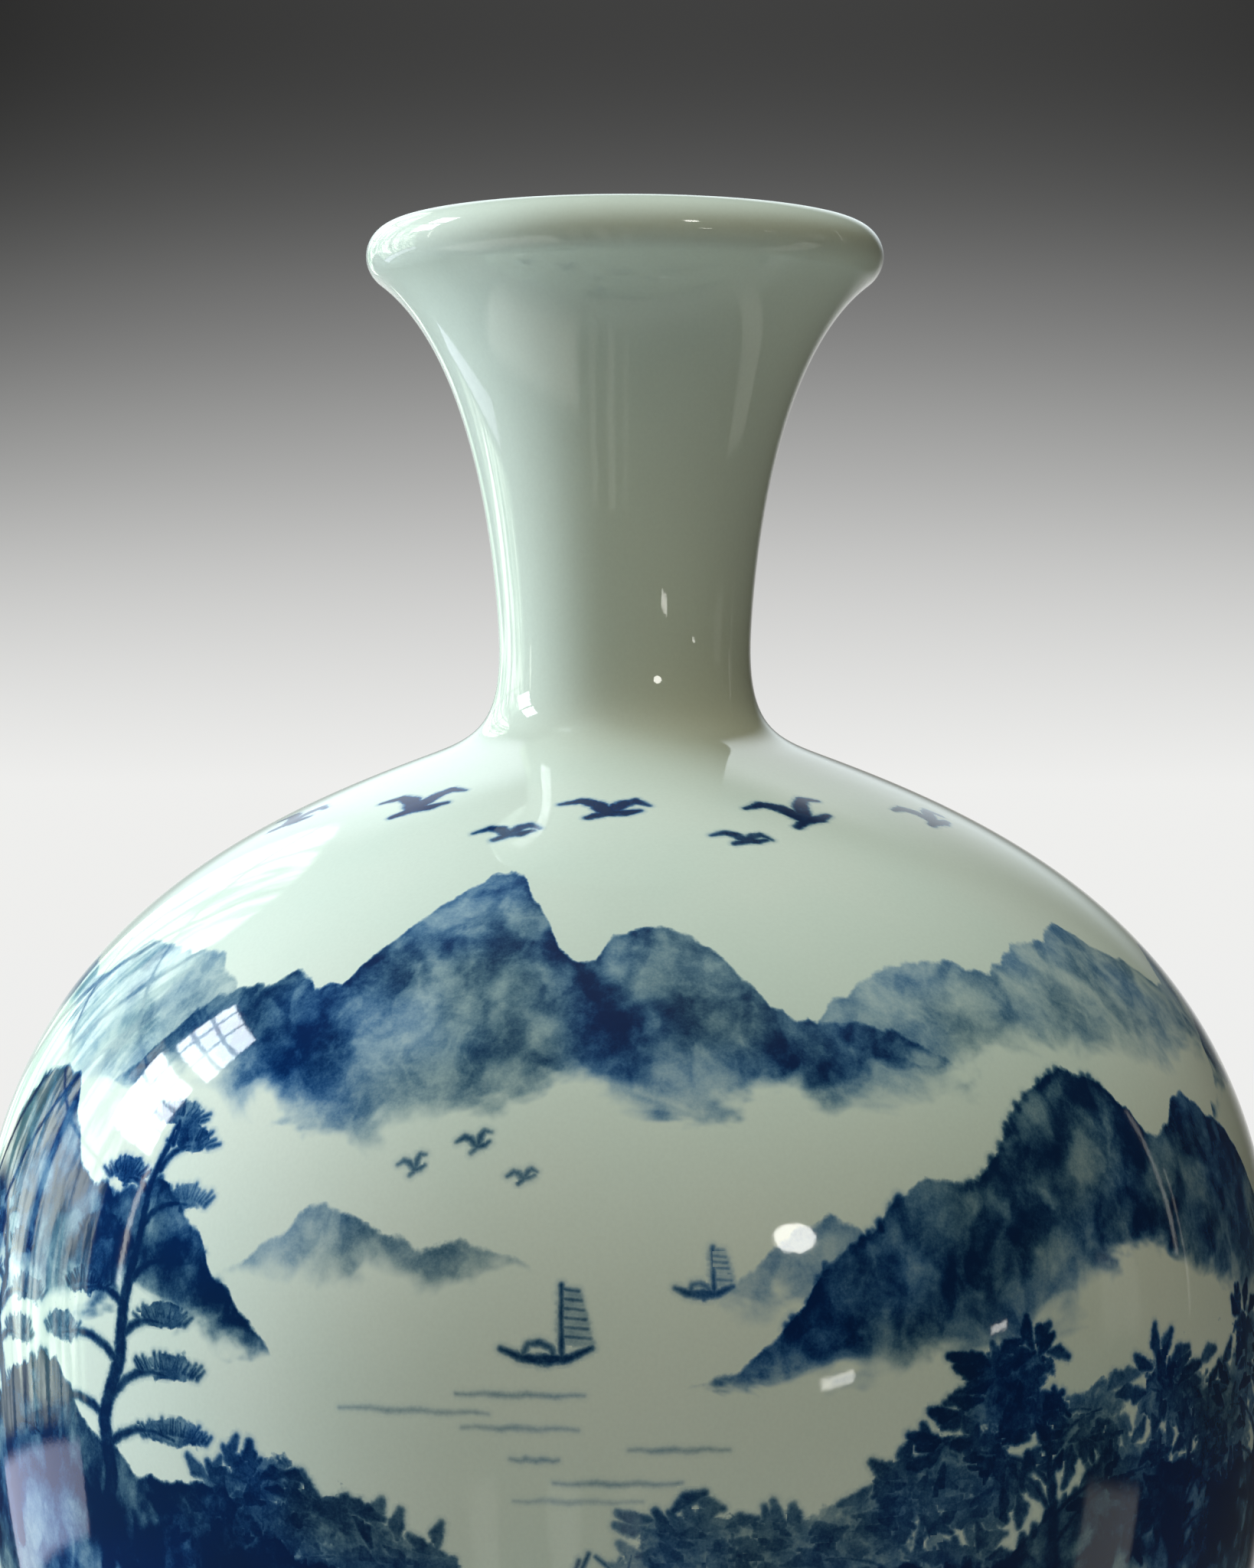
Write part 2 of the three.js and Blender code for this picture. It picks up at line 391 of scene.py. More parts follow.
def foot_section():
    outer, _ = outer_run(FOOT_SEAM, HEEL_LENGTH, NECK_STEP)
    ring_out = HEEL_RADIUS - RING_SET_BACK
    ring_in = ring_out - RING_WIDTH
    recess = ring_in - RECESS_DRAFT
    heel = (HEEL_RADIUS, HEEL_Z)
    step = (ring_out, HEEL_Z - RING_SHOULDER)
    floor_z = RECESS_DEPTH + RECESS_DOME + FLOOR_THICKNESS
    on_wall = in_wall(FLOOR_EDGE, HEEL_WALL)
    way = along(outside_ways, FLOOR_EDGE)
    corner = on_wall + way * (floor_z - on_wall[1]) / way[1]
    on_floor = corner - [FLOOR_FILLET, 0]
    return [
        outer,
        *straight_runs(heel, step, (ring_out, RING_BEVEL)),
        rounded_corner((ring_out, RING_BEVEL), (ring_out, 0), (ring_out - RING_BEVEL, 0)),
        *straight_runs((ring_out - RING_BEVEL, 0), (ring_in + RING_BEVEL, 0)),
        rounded_corner((ring_in + RING_BEVEL, 0), (ring_in, 0), (ring_in, RING_BEVEL)),
        *straight_runs((ring_in, RING_BEVEL), (recess, RECESS_DEPTH - RECESS_FILLET)),
        rounded_corner((recess, RECESS_DEPTH - RECESS_FILLET), (recess, RECESS_DEPTH),
                       (recess - RECESS_FILLET, RECESS_DEPTH)),
        *straight_runs((recess - RECESS_FILLET, RECESS_DEPTH), (0, RECESS_DEPTH + RECESS_DOME)),
        *straight_runs((0, floor_z), on_floor),
        rounded_corner(on_floor, corner, on_wall),
        *straight_runs(on_wall, in_wall(below_slip(FOOT_SEAM), HEEL_WALL)),
        *edge_below(FOOT_SEAM),
    ]


def slip_section(seam):
    middle = seam - LAP_LENGTH
    half_width = SLIP_WIDTH / 2 - SEAM_GAP
    wall = wall_at(middle)
    groove = half_depth(seam, 1)
    turns = np.linspace(0, math.pi, LIP_STEPS // 2 + 1)
    bead = [in_wall(middle + half_width * math.cos(a), wall + SLIP_BEAD * math.sin(a)) for a in turns]
    start = in_wall(middle - half_width, groove)
    end = in_wall(middle + half_width, groove)
    return [*straight_runs(start, end, bead[0]), smooth_run(bead), *straight_runs(bead[-1], start)]


# The painter's canvas: azimuth round the body and height up the wall from the widest part


def on_body(azimuth, rise):
    """Points in space for azimuths in radians and heights in metres along the wall."""
    section = along(outside, BELLY_LENGTH - np.asarray(rise))
    radius, height = section[..., 0], section[..., 1]
    return np.stack([radius * np.sin(azimuth), -radius * np.cos(azimuth), height], axis=-1)


def radius_at(rise):
    return np.interp(BELLY_LENGTH - np.asarray(rise), outside_lengths, outside[:, 0])


def wrapped(angle):
    return (angle + math.pi) % math.tau - math.pi


def waves(azimuth, seed, first, last, falling):
    """A wandering line round the vase, of about the size 1."""
    dice = np.random.default_rng(seed)
    counts = np.arange(first, last)
    sizes = (first / counts) ** falling * dice.uniform(0.5, 1, len(counts))
    phases = dice.uniform(0, math.tau, len(counts))
    line = sum(s * np.sin(c * azimuth + p) for s, c, p in zip(sizes, counts, phases))
    return line / np.sqrt((sizes**2).sum())


HILL_ROUNDNESS = 1.9
HILL_UNION = 5  # how sharply the higher of two hills hides the other
MIST_SWING = 4.5  # millimetres that the upper edge of the mist wanders up and down
SPURS = np.arange(0.12, 1.25, 0.17)  # where a hill has its spurs, as shares of its spread
FOLD_POINTS = 8
WASH_REACH = 3.5  # how many times its reach a wash is followed for


@dataclass
class Range:
    """A range of hills: its crest, and the wash that runs down from it into the mist.
    A hill is its azimuth, its height in millimetres and its spread to each side in degrees."""

    seed: int
    hills: list
    base: float
    mist: float
    crest_ink: float
    body_ink: float
    fade: float
    wander: float

    def crest(self, azimuth):
        heights = 0
        for degrees, height, left, right in self.hills:
            off = wrapped(azimuth - math.radians(degrees))
            reach = np.radians(np.where(off < 0, left, right))
            shape = 0.5 ** ((np.abs(off) / reach) ** HILL_ROUNDNESS)
            heights = heights + ((height - self.base) * shape) ** HILL_UNION
        rough = waves(azimuth, self.seed, 10, 45, 0.5) + 0.4 * waves(azimuth, self.seed + 2, 45, 180, 0.5)
        return self.base + heights ** (1 / HILL_UNION) + self.wander * rough

    def mist_line(self, azimuth):
        return self.mist + MIST_SWING * waves(azimuth, self.seed + 1, 3, 15, 0.4)

    def wash(self, azimuth, rise):
        """Depth under the crest, height over the mist, and ink, over a grid of the body."""
        below = self.crest(azimuth)[None, :] - rise[:, None] / MM
        over = rise[:, None] / MM - self.mist_line(azimuth)[None, :]
        ink = self.body_ink + (self.crest_ink - self.body_ink) * np.exp(-np.maximum(below, 0) / self.fade)
        folds = np.zeros_like(ink)
        for line, strength, reach in self.folds():
            one_sided_wash(folds, azimuth, rise, line, strength, reach)
        return below, over, ink + folds

    def folds(self):
        """The strokes that model the hills: a dark side to each summit, and spurs under the crest."""
        dice = np.random.default_rng(self.seed + 3)
        for degrees, height, left, right in self.hills:
            depth = max(height - self.mist, 12)
            ridge = self.falling_line(dice, degrees, 1.0, depth * 0.9, dice.uniform(-0.25, 0.25))
            yield ridge[::-1], self.crest_ink * 0.42, dice.uniform(7, 11)
            for side, spread in ((-1, left), (1, right)):
                for step in SPURS:
                    start = degrees + side * spread * (step + dice.uniform(-0.06, 0.06))
                    lean = side * dice.uniform(0.35, 1.1)
                    length = depth * dice.uniform(0.3, 0.75)
                    spur = self.falling_line(dice, start, dice.uniform(0.5, 9), length, lean)
                    spur = spur if side > 0 else spur[::-1]
                    yield spur, self.crest_ink * dice.uniform(0.14, 0.42), dice.uniform(2.4, 6)

    def falling_line(self, dice, degrees, under, length, lean):
        """A wandering line down from a place under the crest, as azimuths and heights in metres."""
        steps = np.linspace(0, 1, FOLD_POINTS)
        top = float(self.crest(np.array([math.radians(degrees)]))[0]) - under
        wander = np.cumsum(dice.normal(0, 0.045, FOLD_POINTS))
        drift = lean * length * (steps - 0.35 * steps**2) + wander * length
        swing = math.radians(degrees) + drift * MM / float(radius_at(top * MM))
        return np.stack([swing, (top - length * steps) * MM], axis=1)


def one_sided_wash(ink, azimuth, rise, line, strength, reach):
    """Adds a brush stroke that is crisp along a line and fades to the right of its way."""
    reach = reach * MM
    middle = line.mean(axis=0)
    radius = float(radius_at(middle[1]))
    x, y = (line[:, 0] - middle[0]) * radius, line[:, 1]
    around = WASH_REACH * reach
    rows = np.nonzero((rise > y.min() - around) & (rise < y.max() + around))[0]
    off = wrapped(azimuth - middle[0]) * radius
    columns = np.nonzero(np.abs(off) < np.abs(x).max() + around)[0]
    if len(rows) == 0 or len(columns) == 0:
        return
    px, py = off[columns][None, :], rise[rows][:, None]
    nearest = np.full((len(rows), len(columns)), np.inf)
    side, share = np.zeros_like(nearest), np.zeros_like(nearest)
    pieces = len(x) - 1
    for i in range(pieces):
        dx, dy = x[i + 1] - x[i], y[i + 1] - y[i]
        length = math.hypot(dx, dy)
        t = np.clip(((px - x[i]) * dx + (py - y[i]) * dy) / length**2, 0, 1)
        away = np.hypot(px - x[i] - t * dx, py - y[i] - t * dy)
        closer = away < nearest
        cross = (px - x[i]) * dy - (py - y[i]) * dx
        side = np.where(closer, np.sign(cross) * away, side)
        share = np.where(closer, (i + t) / pieces, share)
        nearest = np.minimum(nearest, away)
    taper = np.sin(np.clip(share, 0.03, 0.97) * math.pi) ** 0.8
    edge = smooth(side, -0.9 * MM, 1.3 * MM)
    ink[np.ix_(rows, columns)] += strength * edge * np.exp(-np.maximum(side, 0) / reach) * taper


DISTANT_RANGE = Range(11, [
    (55, 80, 30, 16), (28, 73, 14, 15), (-58, 78, 16, 28), (-78, 72, 12, 12), (78, 74, 12, 12),
    (128, 86, 14, 15), (152, 74, 12, 12), (-150, 86, 14, 15), (-112, 76, 13, 13), (-176, 72, 13, 13),
], 40, 52, 1.15, 0.62, 10, 1.3)
MAIN_RANGE = Range(23, [
    (-15, 97, 14, 12), (3, 84, 10, 13), (-36, 70, 15, 14), (20, 63, 11, 13),
    (98, 94, 14, 12), (112, 80, 9, 12), (82, 66, 10, 11), (-128, 92, 13, 12), (-144, 74, 10, 12),
    (-98, 64, 12, 12), (172, 90, 13, 13), (-172, 76, 10, 12), (150, 62, 11, 12),
], 34, 47, 2.5, 1.15, 12, 1.4)
FAR_SHORE = Range(97, [
    (-24, 31, 9, 10), (-12, 24, 8, 10), (16, 28, 9, 8), (80, 24, 12, 12), (96, 30, 10, 12),
    (156, 26, 12, 12), (-178, 30, 12, 10), (-112, 26, 10, 12), (-86, 30, 12, 12),
], 6, 15, 1.15, 0.6, 7, 1.1)
WOODED_RANGE = Range(37, [
    (43, 52, 18, 13), (60, 45, 12, 14), (24, 31, 11, 12), (-62, 52, 14, 13), (-44, 32, 10, 12),
    (84, 28, 12, 12), (134, 52, 15, 14), (116, 30, 10, 12), (-100, 40, 14, 13), (-152, 50, 14, 14),
    (-130, 28, 10, 12), (176, 34, 14, 14),
], -2, 9, 3.8, 1.7, 11, 1.7)
BANK = Range(53, [
    (47, -14, 17, 14), (68, -18, 12, 14), (24, -30, 10, 12), (-56, 0, 14, 14), (-38, -16, 10, 12),
    (-80, -12, 12, 12), (104, -8, 16, 16), (152, -2, 16, 16), (-168, -14, 14, 14), (-118, -4, 16, 16),
], -34, -44, 4.6, 2.2, 9, 1.8)
LOW_BANK = Range(71, [
    (-72, -62, 18, 16), (-14, -70, 16, 18), (30, -76, 14, 14), (84, -62, 18, 18), (128, -76, 14, 14),
    (172, -64, 18, 18), (-136, -70, 16, 18),
], -92, -106, 4.2, 1.6, 9, 1.8)
RANGES = {
    "distant_hills": DISTANT_RANGE, "main_peaks": MAIN_RANGE, "far_shore": FAR_SHORE,
    "wooded_hills": WOODED_RANGE, "bank": BANK, "low_bank": LOW_BANK,
}


class Painting:
    """Strokes of the loaded brush, and the soft masses of wash that foliage is dabbed over.
    A centre is an azimuth in radians and a height in metres; the rest is in millimetres."""

    def __init__(self):
        self.strokes = []
        self.masses = []

    def place(self, centre, x, y):
        """The canvas place x to the right of a centre and y above it."""
        rise = centre[1] + y * MM
        return centre[0] + x * MM / float(radius_at(rise)), rise

    def line(self, centre, points, widths, ink):
        """A curved stroke through points. Its half width passes through the widths."""
        shares = np.linspace(0, 1, len(points))
        given = np.interp(shares, np.linspace(0, 1, len(widths)), widths) * MM
        places = [self.place(centre, *point) for point in points]
        for start, end, width, next_width in zip(places, places[1:], given, given[1:]):
            self.strokes.append((*start, *end, width, next_width, ink))

    def dab(self, centre, x, y, angle, length, start_width, end_width, ink):
        self.line(centre, [(x, y), ahead(x, y, angle, length)], [start_width, end_width], ink)

    def leaf(self, centre, x, y, angle, length, half, ink):
        points = curved((x, y), ahead(x, y, angle, length), 0.1, 2)
        self.line(centre, points, [0.35 * half, half, 0.4 * half], ink)

    def mass(self, centre, x, y, wide, tall, ink):
        self.masses.append((*self.place(centre, x, y), wide * MM, tall * MM, ink))


def ahead(x, y, angle, length):
    return x + length * math.cos(angle), y + length * math.sin(angle)


def curved(start, end, bend, steps):
    """Points from start to end, bent to the left by a share of the way."""
    t = np.linspace(0, 1, steps + 1)
    dx, dy = end[0] - start[0], end[1] - start[1]
    hump = 4 * t * (1 - t) * bend
    return list(zip(start[0] + dx * t - dy * hump, start[1] + dy * t + dx * hump))


BOUGHS = 8
PINE_JOINTS = 8
PINE_PADS = 12
BATTENS = 6


def leaf_cluster(painting, centre, x, y, size, ink, dice):
    """A wet mass of leaves with single dabs round it that droop outwards."""
    load = ink * dice.choice([1.0, 0.78, 0.5], p=[0.5, 0.3, 0.2])
    painting.mass(centre, x, y, size * 0.95, size * 0.68, load * 0.86)
    for _ in range(dice.integers(6, 11)):
        angle = dice.uniform(0, math.tau)
        out = size * dice.uniform(0.45, 1.3)
        way = math.atan2(0.6 * math.sin(angle) - 0.35, math.cos(angle)) + dice.normal(0, 0.35)
        painting.leaf(centre, x + out * math.cos(angle), y + 0.72 * out * math.sin(angle), way,
                      dice.uniform(3.6, 6.0), dice.uniform(1.05, 1.55), load * dice.uniform(0.75, 1.1))


def leafy_tree(painting, centre, height, spread, ink, seed):
    """A broad-leaved tree: a bent trunk, and boughs with clusters of leaves along them."""
    dice = np.random.default_rng(seed)
    lean = dice.uniform(-0.14, 0.14) * height
    trunk = curved((0, 0), (lean, 0.82 * height), dice.uniform(-0.08, 0.08), 8)
    painting.line(centre, trunk, [1.4, 0.9, 0.35], ink * 0.9)
    for i in range(BOUGHS):
        share = 0.3 + 0.66 * i / (BOUGHS - 1)
        root = trunk[int(share * (len(trunk) - 1))]
        side = -1 if i % 2 else 1
        reach = 0.5 * spread * (1.2 - 0.75 * share) * dice.uniform(0.8, 1.2)
        tip = (root[0] + side * reach, root[1] + reach * dice.uniform(0.1, 0.75))
        painting.line(centre, curved(root, tip, side * 0.12, 4), [0.55, 0.28], ink * 0.85)
        for far in (0.5, 1.0):
            x = root[0] + (tip[0] - root[0]) * far + dice.normal(0, 1.4)
            y = root[1] + (tip[1] - root[1]) * far + dice.normal(0, 1.2)
            leaf_cluster(painting, centre, x, y, dice.uniform(3.6, 5.4), ink, dice)
    leaf_cluster(painting, centre, *trunk[-1], 4.6, ink, dice)


def pine_tree(painting, centre, height, lean, ink, seed):
    """A pine: an angular trunk, level boughs and flat pads of needles."""
    dice = np.random.default_rng(seed)
    trunk = [(lean * i / PINE_JOINTS + dice.normal(0, 0.022) * height * (i > 0), height * i / PINE_JOINTS)
             for i in range(PINE_JOINTS + 1)]
    painting.line(centre, trunk, [1.9, 1.3, 0.5], ink)
    heights, offsets = [p[1] for p in trunk], [p[0] for p in trunk]
    for i in range(PINE_PADS):
        share = 0.34 + 0.66 * i / (PINE_PADS - 1)
        y = share * height
        x = float(np.interp(y, heights, offsets))
        side = -1 if i % 2 else 1
        far = height * (0.3 - 0.3 * (share - 0.34)) * dice.uniform(0.55, 1.1) * (i < PINE_PADS - 1)
        px, py = x + side * far, y + dice.uniform(-1.0, 2.5)
        bough = curved((x, y - 2.5), (px, py - 0.8), side * 0.14, 4)
        painting.line(centre, bough, [0.75, 0.3], ink * 0.9)
        half = dice.uniform(4.6, 7.4) * (1.15 - 0.45 * share)
        load = ink * dice.choice([1.0, 0.8, 0.6], p=[0.5, 0.3, 0.2])
        for shift in (-0.5, 0, 0.5):
            painting.mass(centre, px + shift * half, py + 0.9 - abs(shift), half * 0.5, 1.9, load * 0.8)
        needles = int(half * 3.4)
        for k in range(needles):
            s = 2 * (k + dice.uniform(-0.4, 0.4)) / (needles - 1) - 1
            up = math.radians(90 - 55 * s + dice.normal(0, 10))
            painting.dab(centre, px + s * half * 0.95, py + 0.3 - 0.9 * s * s, up,
                         dice.uniform(1.5, 2.7), 0.4, 0.14, load * dice.uniform(0.8, 1.1))


def reeds(painting, centre, height, count, ink, seed):
    """Reeds: blades that bend over, thick at the foot."""
    dice = np.random.default_rng(seed)
    for _ in range(count):
        x = dice.normal(0, 0.32) * height
        tall = height * dice.uniform(0.5, 1)
        tip = (x + dice.normal(0, 0.35) * tall, tall)
        painting.line(centre, curved((x, 0), tip, dice.uniform(-0.16, 0.16), 5), [0.5, 0.42, 0.1],
                      ink * dice.uniform(0.6, 1.1))


def flying_bird(painting, centre, span, tilt, flap, ink):
    """A bird in flight: two bowed wings, raised by the flap, a body and a stretched neck."""
    wing = [(0, 0), (-0.12, 0.17 * flap), (-0.29, 0.24 * flap), (-0.52, 0.3 * flap - 0.17)]
    far_wing = [(0.03, 0), (0.14, 0.2 * flap), (0.27, 0.3 * flap), (0.44, 0.4 * flap - 0.2)]
    body = [(-0.17, -0.15), (0.02, -0.02), (0.2, 0.0), (0.36, 0.07)]
    for points, widths, load in (
        (wing, (0.085, 0.075, 0.015), 1), (far_wing, (0.085, 0.07, 0.015), 0.9),
        (body, (0.035, 0.08, 0.02), 1),
    ):
        turned = [(span * (x * math.cos(tilt) - y * math.sin(tilt)),
                   span * (x * math.sin(tilt) + y * math.cos(tilt))) for x, y in points]
        painting.line(centre, turned, [width * span for width in widths], ink * load)


def sailing_boat(painting, centre, size, side, ink):
    """A small boat: hull, arched cover, mast and a battened sail."""
    def stroke(points, widths, load):
        painting.line(centre, [(side * x * size, y * size) for x, y in points], widths, ink * load)

    stroke([(-1.0, 0.16), (-0.55, -0.03), (0, -0.08), (0.55, -0.03), (1.05, 0.2)], [0.25, 0.75, 0.25], 1)
    stroke([(-0.48, 0.05), (-0.38, 0.27), (-0.1, 0.31), (0.14, 0.2), (0.2, 0.05)], [0.4, 0.4], 0.7)
    stroke([(0.38, 0), (0.36, 1.6)], [0.3, 0.18], 1)
    for i in range(BATTENS):
        y = 0.36 + 0.21 * i
        reach = 0.66 - 0.055 * i
        stroke([(0.36, y), (0.36 + reach, y - 0.05)], [0.75, 0.65], 0.24)
        stroke([(0.36, y + 0.1), (0.36 + reach, y + 0.05)], [0.15, 0.15], 0.7)


def pavilion(painting, centre, size, ink):
    """A waterside pavilion: two swept roofs on posts, over a plinth."""
    def stroke(points, widths, load):
        painting.line(centre, [(x * size, y * size) for x, y in points], widths, ink * load)

    for wide, y in ((1.0, 0.8), (0.62, 1.3)):
        for fill in (0.1, 0.2, 0.3):
            stroke([(-0.75 * wide + fill, y + fill), (0.75 * wide - fill, y + fill)], [0.8, 0.8], 0.4)
        eave = [(-wide, y + 0.16), (-0.6 * wide, y), (0, y - 0.03), (0.6 * wide, y), (wide, y + 0.16)]
        stroke(eave, [0.22, 0.5, 0.22], 1)
        stroke([(-0.42 * wide, y + 0.34), (0.42 * wide, y + 0.34)], [0.45, 0.45], 1)
        for side in (-1, 1):
            stroke([(side * 0.42 * wide, y + 0.34), (side * 0.66 * wide, y + 0.13),
                    (side * wide, y + 0.16)], [0.42, 0.22], 0.9)
    for x in (-0.66, -0.28, 0.28, 0.66):
        stroke([(x, 0.1), (x, 0.8)], [0.28, 0.28], 0.85)
    stroke([(-0.9, 0.06), (0.9, 0.06)], [0.4, 0.4], 0.85)


def tree_line(painting, hills, groups, size, ink, seed):
    """Small far trees in groups along a crest."""
    dice = np.random.default_rng(seed)
    for _ in range(groups):
        degrees = dice.uniform(-180, 180)
        for _ in range(dice.integers(4, 10)):
            degrees += dice.uniform(0.4, 1.3)
            azimuth = np.array([math.radians(degrees)])
            crest = float(hills.crest(azimuth)[0])
            if crest < float(hills.mist_line(azimuth)[0]) + 9:
                continue
            centre = (azimuth[0], (crest - 0.8) * MM)
            tall = size * dice.uniform(0.2, 0.55)
            painting.line(centre, [(0, 0), (dice.normal(0, 0.2), tall)], [0.3 * size, 0.24 * size],
                          ink * dice.uniform(0.5, 1))


def ripples(painting, centre, count, wide, ink, seed):
    """Broken level strokes of thin wash for still water."""
    dice = np.random.default_rng(seed)
    for i in range(count):
        x, half = dice.normal(0, 0.4) * wide, dice.uniform(0.1, 0.36) * wide
        y = -2.7 * i + dice.uniform(-0.6, 0.6)
        points = [(x + half * s, y + 0.16 * math.sin(9 * s + i)) for s in np.linspace(-1, 1, 10)]
        painting.line(centre, points, [0.1, 0.36, 0.3, 0.1], ink * dice.uniform(0.5, 1))


# What is painted, from the first stroke to the last. A row is its azimuth in degrees and its height
# in millimetres, and then what its kind takes.
LANDSCAPE = (
    (leafy_tree, [  # height, spread, ink and seed
        (36, -36, 48, 40, 5.2, 3), (51, -38, 42, 36, 5.0, 4), (23, -42, 38, 32, 3.9, 5),
        (67, -36, 48, 36, 5.2, 6), (-29, -44, 38, 32, 4.8, 7), (-17, -50, 32, 28, 3.6, 8),
        (96, -37, 64, 40, 5.0, 9), (112, -36, 42, 32, 4.0, 10), (150, -36, 60, 38, 5.0, 11),
        (-171, -41, 44, 32, 4.4, 12), (-118, -35, 66, 38, 5.2, 13), (-103, -40, 44, 32, 4.2, 14),
        (-66, -94, 48, 32, 4.8, 15), (84, -98, 48, 32, 4.8, 16), (-8, -102, 46, 32, 4.6, 17),
        (170, -100, 48, 32, 4.8, 18), (-140, -102, 44, 30, 4.4, 19), (9, -43, 28, 26, 3.4, 20),
    ]),
    (pine_tree, [  # height, lean, ink and seed
        (-47, -36, 78, 10, 5.4, 31), (-62, -32, 60, -8, 4.8, 32), (132, -36, 72, 8, 5.2, 33),
        (-150, -38, 74, -9, 5.2, 34), (78, -38, 56, 7, 4.8, 35), (-86, -39, 55, 6, 4.6, 36),
    ]),
    (sailing_boat, [  # size, side and ink
        (-6, 8, 7, 1, 4.4), (6, 18, 4.4, 1, 3.2), (89, 6, 6.5, -1, 4.2), (-97, 10, 6, 1, 4.0),
        (174, 4, 6.5, -1, 4.2), (-40, -86, 7, -1, 4.2), (50, -100, 7, 1, 4.2), (-110, -92, 7, 1, 4.2),
    ]),
    (pavilion, [  # size and ink
        (-78, 4, 9, 4.6), (122, -10, 9, 4.6), (-160, -20, 9, 4.4),
    ]),
    (flying_bird, [  # span, tilt, flap and ink
        (-68, 112, 15, 0.3, 1.2, 5.0), (-38, 118, 17, 0.24, 1.4, 5.6), (-17, 109, 12, 0.1, 0.8, 5.0),
        (-3, 117, 16, -0.1, 1.0, 5.8), (29, 114, 17, 0.06, 1.5, 5.6), (17, 107, 11, -0.2, 0.7, 5.0),
        (58, 113, 15, -0.25, 1.1, 5.4), (88, 116, 16, 0.1, 1.4, 5.4), (112, 110, 15, 0.2, 0.9, 5.2),
        (136, 117, 16, -0.1, 1.2, 5.4), (160, 110, 15, -0.2, 1.5, 5.2), (-174, 116, 16, 0.1, 0.9, 5.4),
        (-146, 109, 15, 0.2, 1.3, 5.2), (-120, 117, 16, 0, 1.0, 5.4), (-94, 110, 15, -0.2, 1.4, 5.2),
        (-12, 41, 6, 0.2, 1.3, 3.0), (-8, 36, 5, 0.1, 0.9, 2.8), (-17, 37, 5, 0.25, 1.5, 2.8),
    ]),
    (reeds, [  # height, count, ink and seed
        (0, -40, 18, 14, 4.2, 41), (11, -46, 14, 11, 3.6, 42), (72, -48, 15, 12, 3.8, 44),
        (-94, -44, 15, 12, 3.8, 45), (165, -50, 15, 12, 3.8, 46), (38, -108, 14, 12, 3.6, 47),
        (-40, -110, 14, 12, 3.6, 48), (120, -110, 14, 12, 3.6, 49), (-165, -112, 14, 12, 3.6, 50),
        (-108, -108, 14, 12, 3.6, 51),
    ]),
    (ripples, [  # count, width, ink and seed
        (-4, 2, 7, 36, 1.0, 61), (89, 0, 6, 32, 1.0, 62), (-97, 4, 5, 32, 1.0, 63),
        (174, -2, 6, 34, 1.0, 64), (-40, -91, 6, 36, 1.1, 65), (50, -105, 6, 36, 1.1, 66),
        (-112, -97, 6, 36, 1.1, 67), (10, -128, 5, 60, 0.8, 68), (100, -130, 5, 60, 0.8, 69),
        (-170, -128, 5, 60, 0.8, 70), (-80, -130, 5, 60, 0.8, 71),
    ]),
)
# Ranges with trees along their crest: how many groups, their size, ink and seed
TREE_LINES = ((WOODED_RANGE, 46, 2.2, 4.4, 81), (BANK, 50, 2.8, 5.2, 82), (LOW_BANK, 36, 2.6, 5.0, 83))


def paint_landscape():
    painting = Painting()
    for draw, rows in LANDSCAPE:
        for degrees, rise, *rest in rows:
            draw(painting, (math.radians(degrees), rise * MM), *rest)
    for row in TREE_LINES:
        tree_line(painting, *row)
    return painting


# Putting the painting on a body's mesh

STROKE_SLOTS = 3
STROKE_REACH = 0.0014  # how far past its edge a stroke can still show
SHORTEST_STROKE = MM / 50
INK_RANK = 0.15 * MM  # how much nearer a stroke counts for each unit of its ink
MASS_REACH = 2.6  # how many times its size a mass of foliage is followed for
MASS_LIMIT = 1.6


def store(piece, name, domain, vectors):
    attribute = piece.data.attributes.new(name, "FLOAT_VECTOR", domain)
    attribute.data.foreach_set("vector", vectors.reshape(-1))


def store_outside(piece, body, name, values):
    """Stores vectors for the vertices of the outside, which are the mesh's first."""
    field = np.zeros((len(body.vertices), 3), np.float32)
    shown = len(body.lengths) * body.segments
    field[:shown] = np.stack(values, axis=2).reshape(-1, 3)
    store(piece, name, "POINT", field)


def paint_washes(piece, body, painting):
    """Stores each range's wash at the vertices of the outside, and the masses of foliage."""
    azimuth = body.azimuths[:-1]
    rise = BELLY_LENGTH - body.lengths
    for name, hills in RANGES.items():
        store_outside(piece, body, name, hills.wash(azimuth, rise))
    field = np.zeros((len(rise), len(azimuth)))
    toned = np.zeros_like(field)
    for at_azimuth, at_rise, wide, tall, ink in painting.masses:
        rows = np.nonzero(np.abs(rise - at_rise) < MASS_REACH * tall)[0]
        off = wrapped(azimuth - at_azimuth) * float(radius_at(at_rise))
        columns = np.nonzero(np.abs(off) < MASS_REACH * wide)[0]
        if len(rows) == 0 or len(columns) == 0:
            continue
        x, y = off[columns][None, :] / wide, (rise[rows][:, None] - at_rise) / tall
        patch = np.exp(-(x * x + y * y))
        field[np.ix_(rows, columns)] += patch
        toned[np.ix_(rows, columns)] += patch * ink
    tone = toned / np.maximum(field, 1e-6)
    store_outside(piece, body, "foliage", (np.minimum(field, MASS_LIMIT), tone, field * 0))


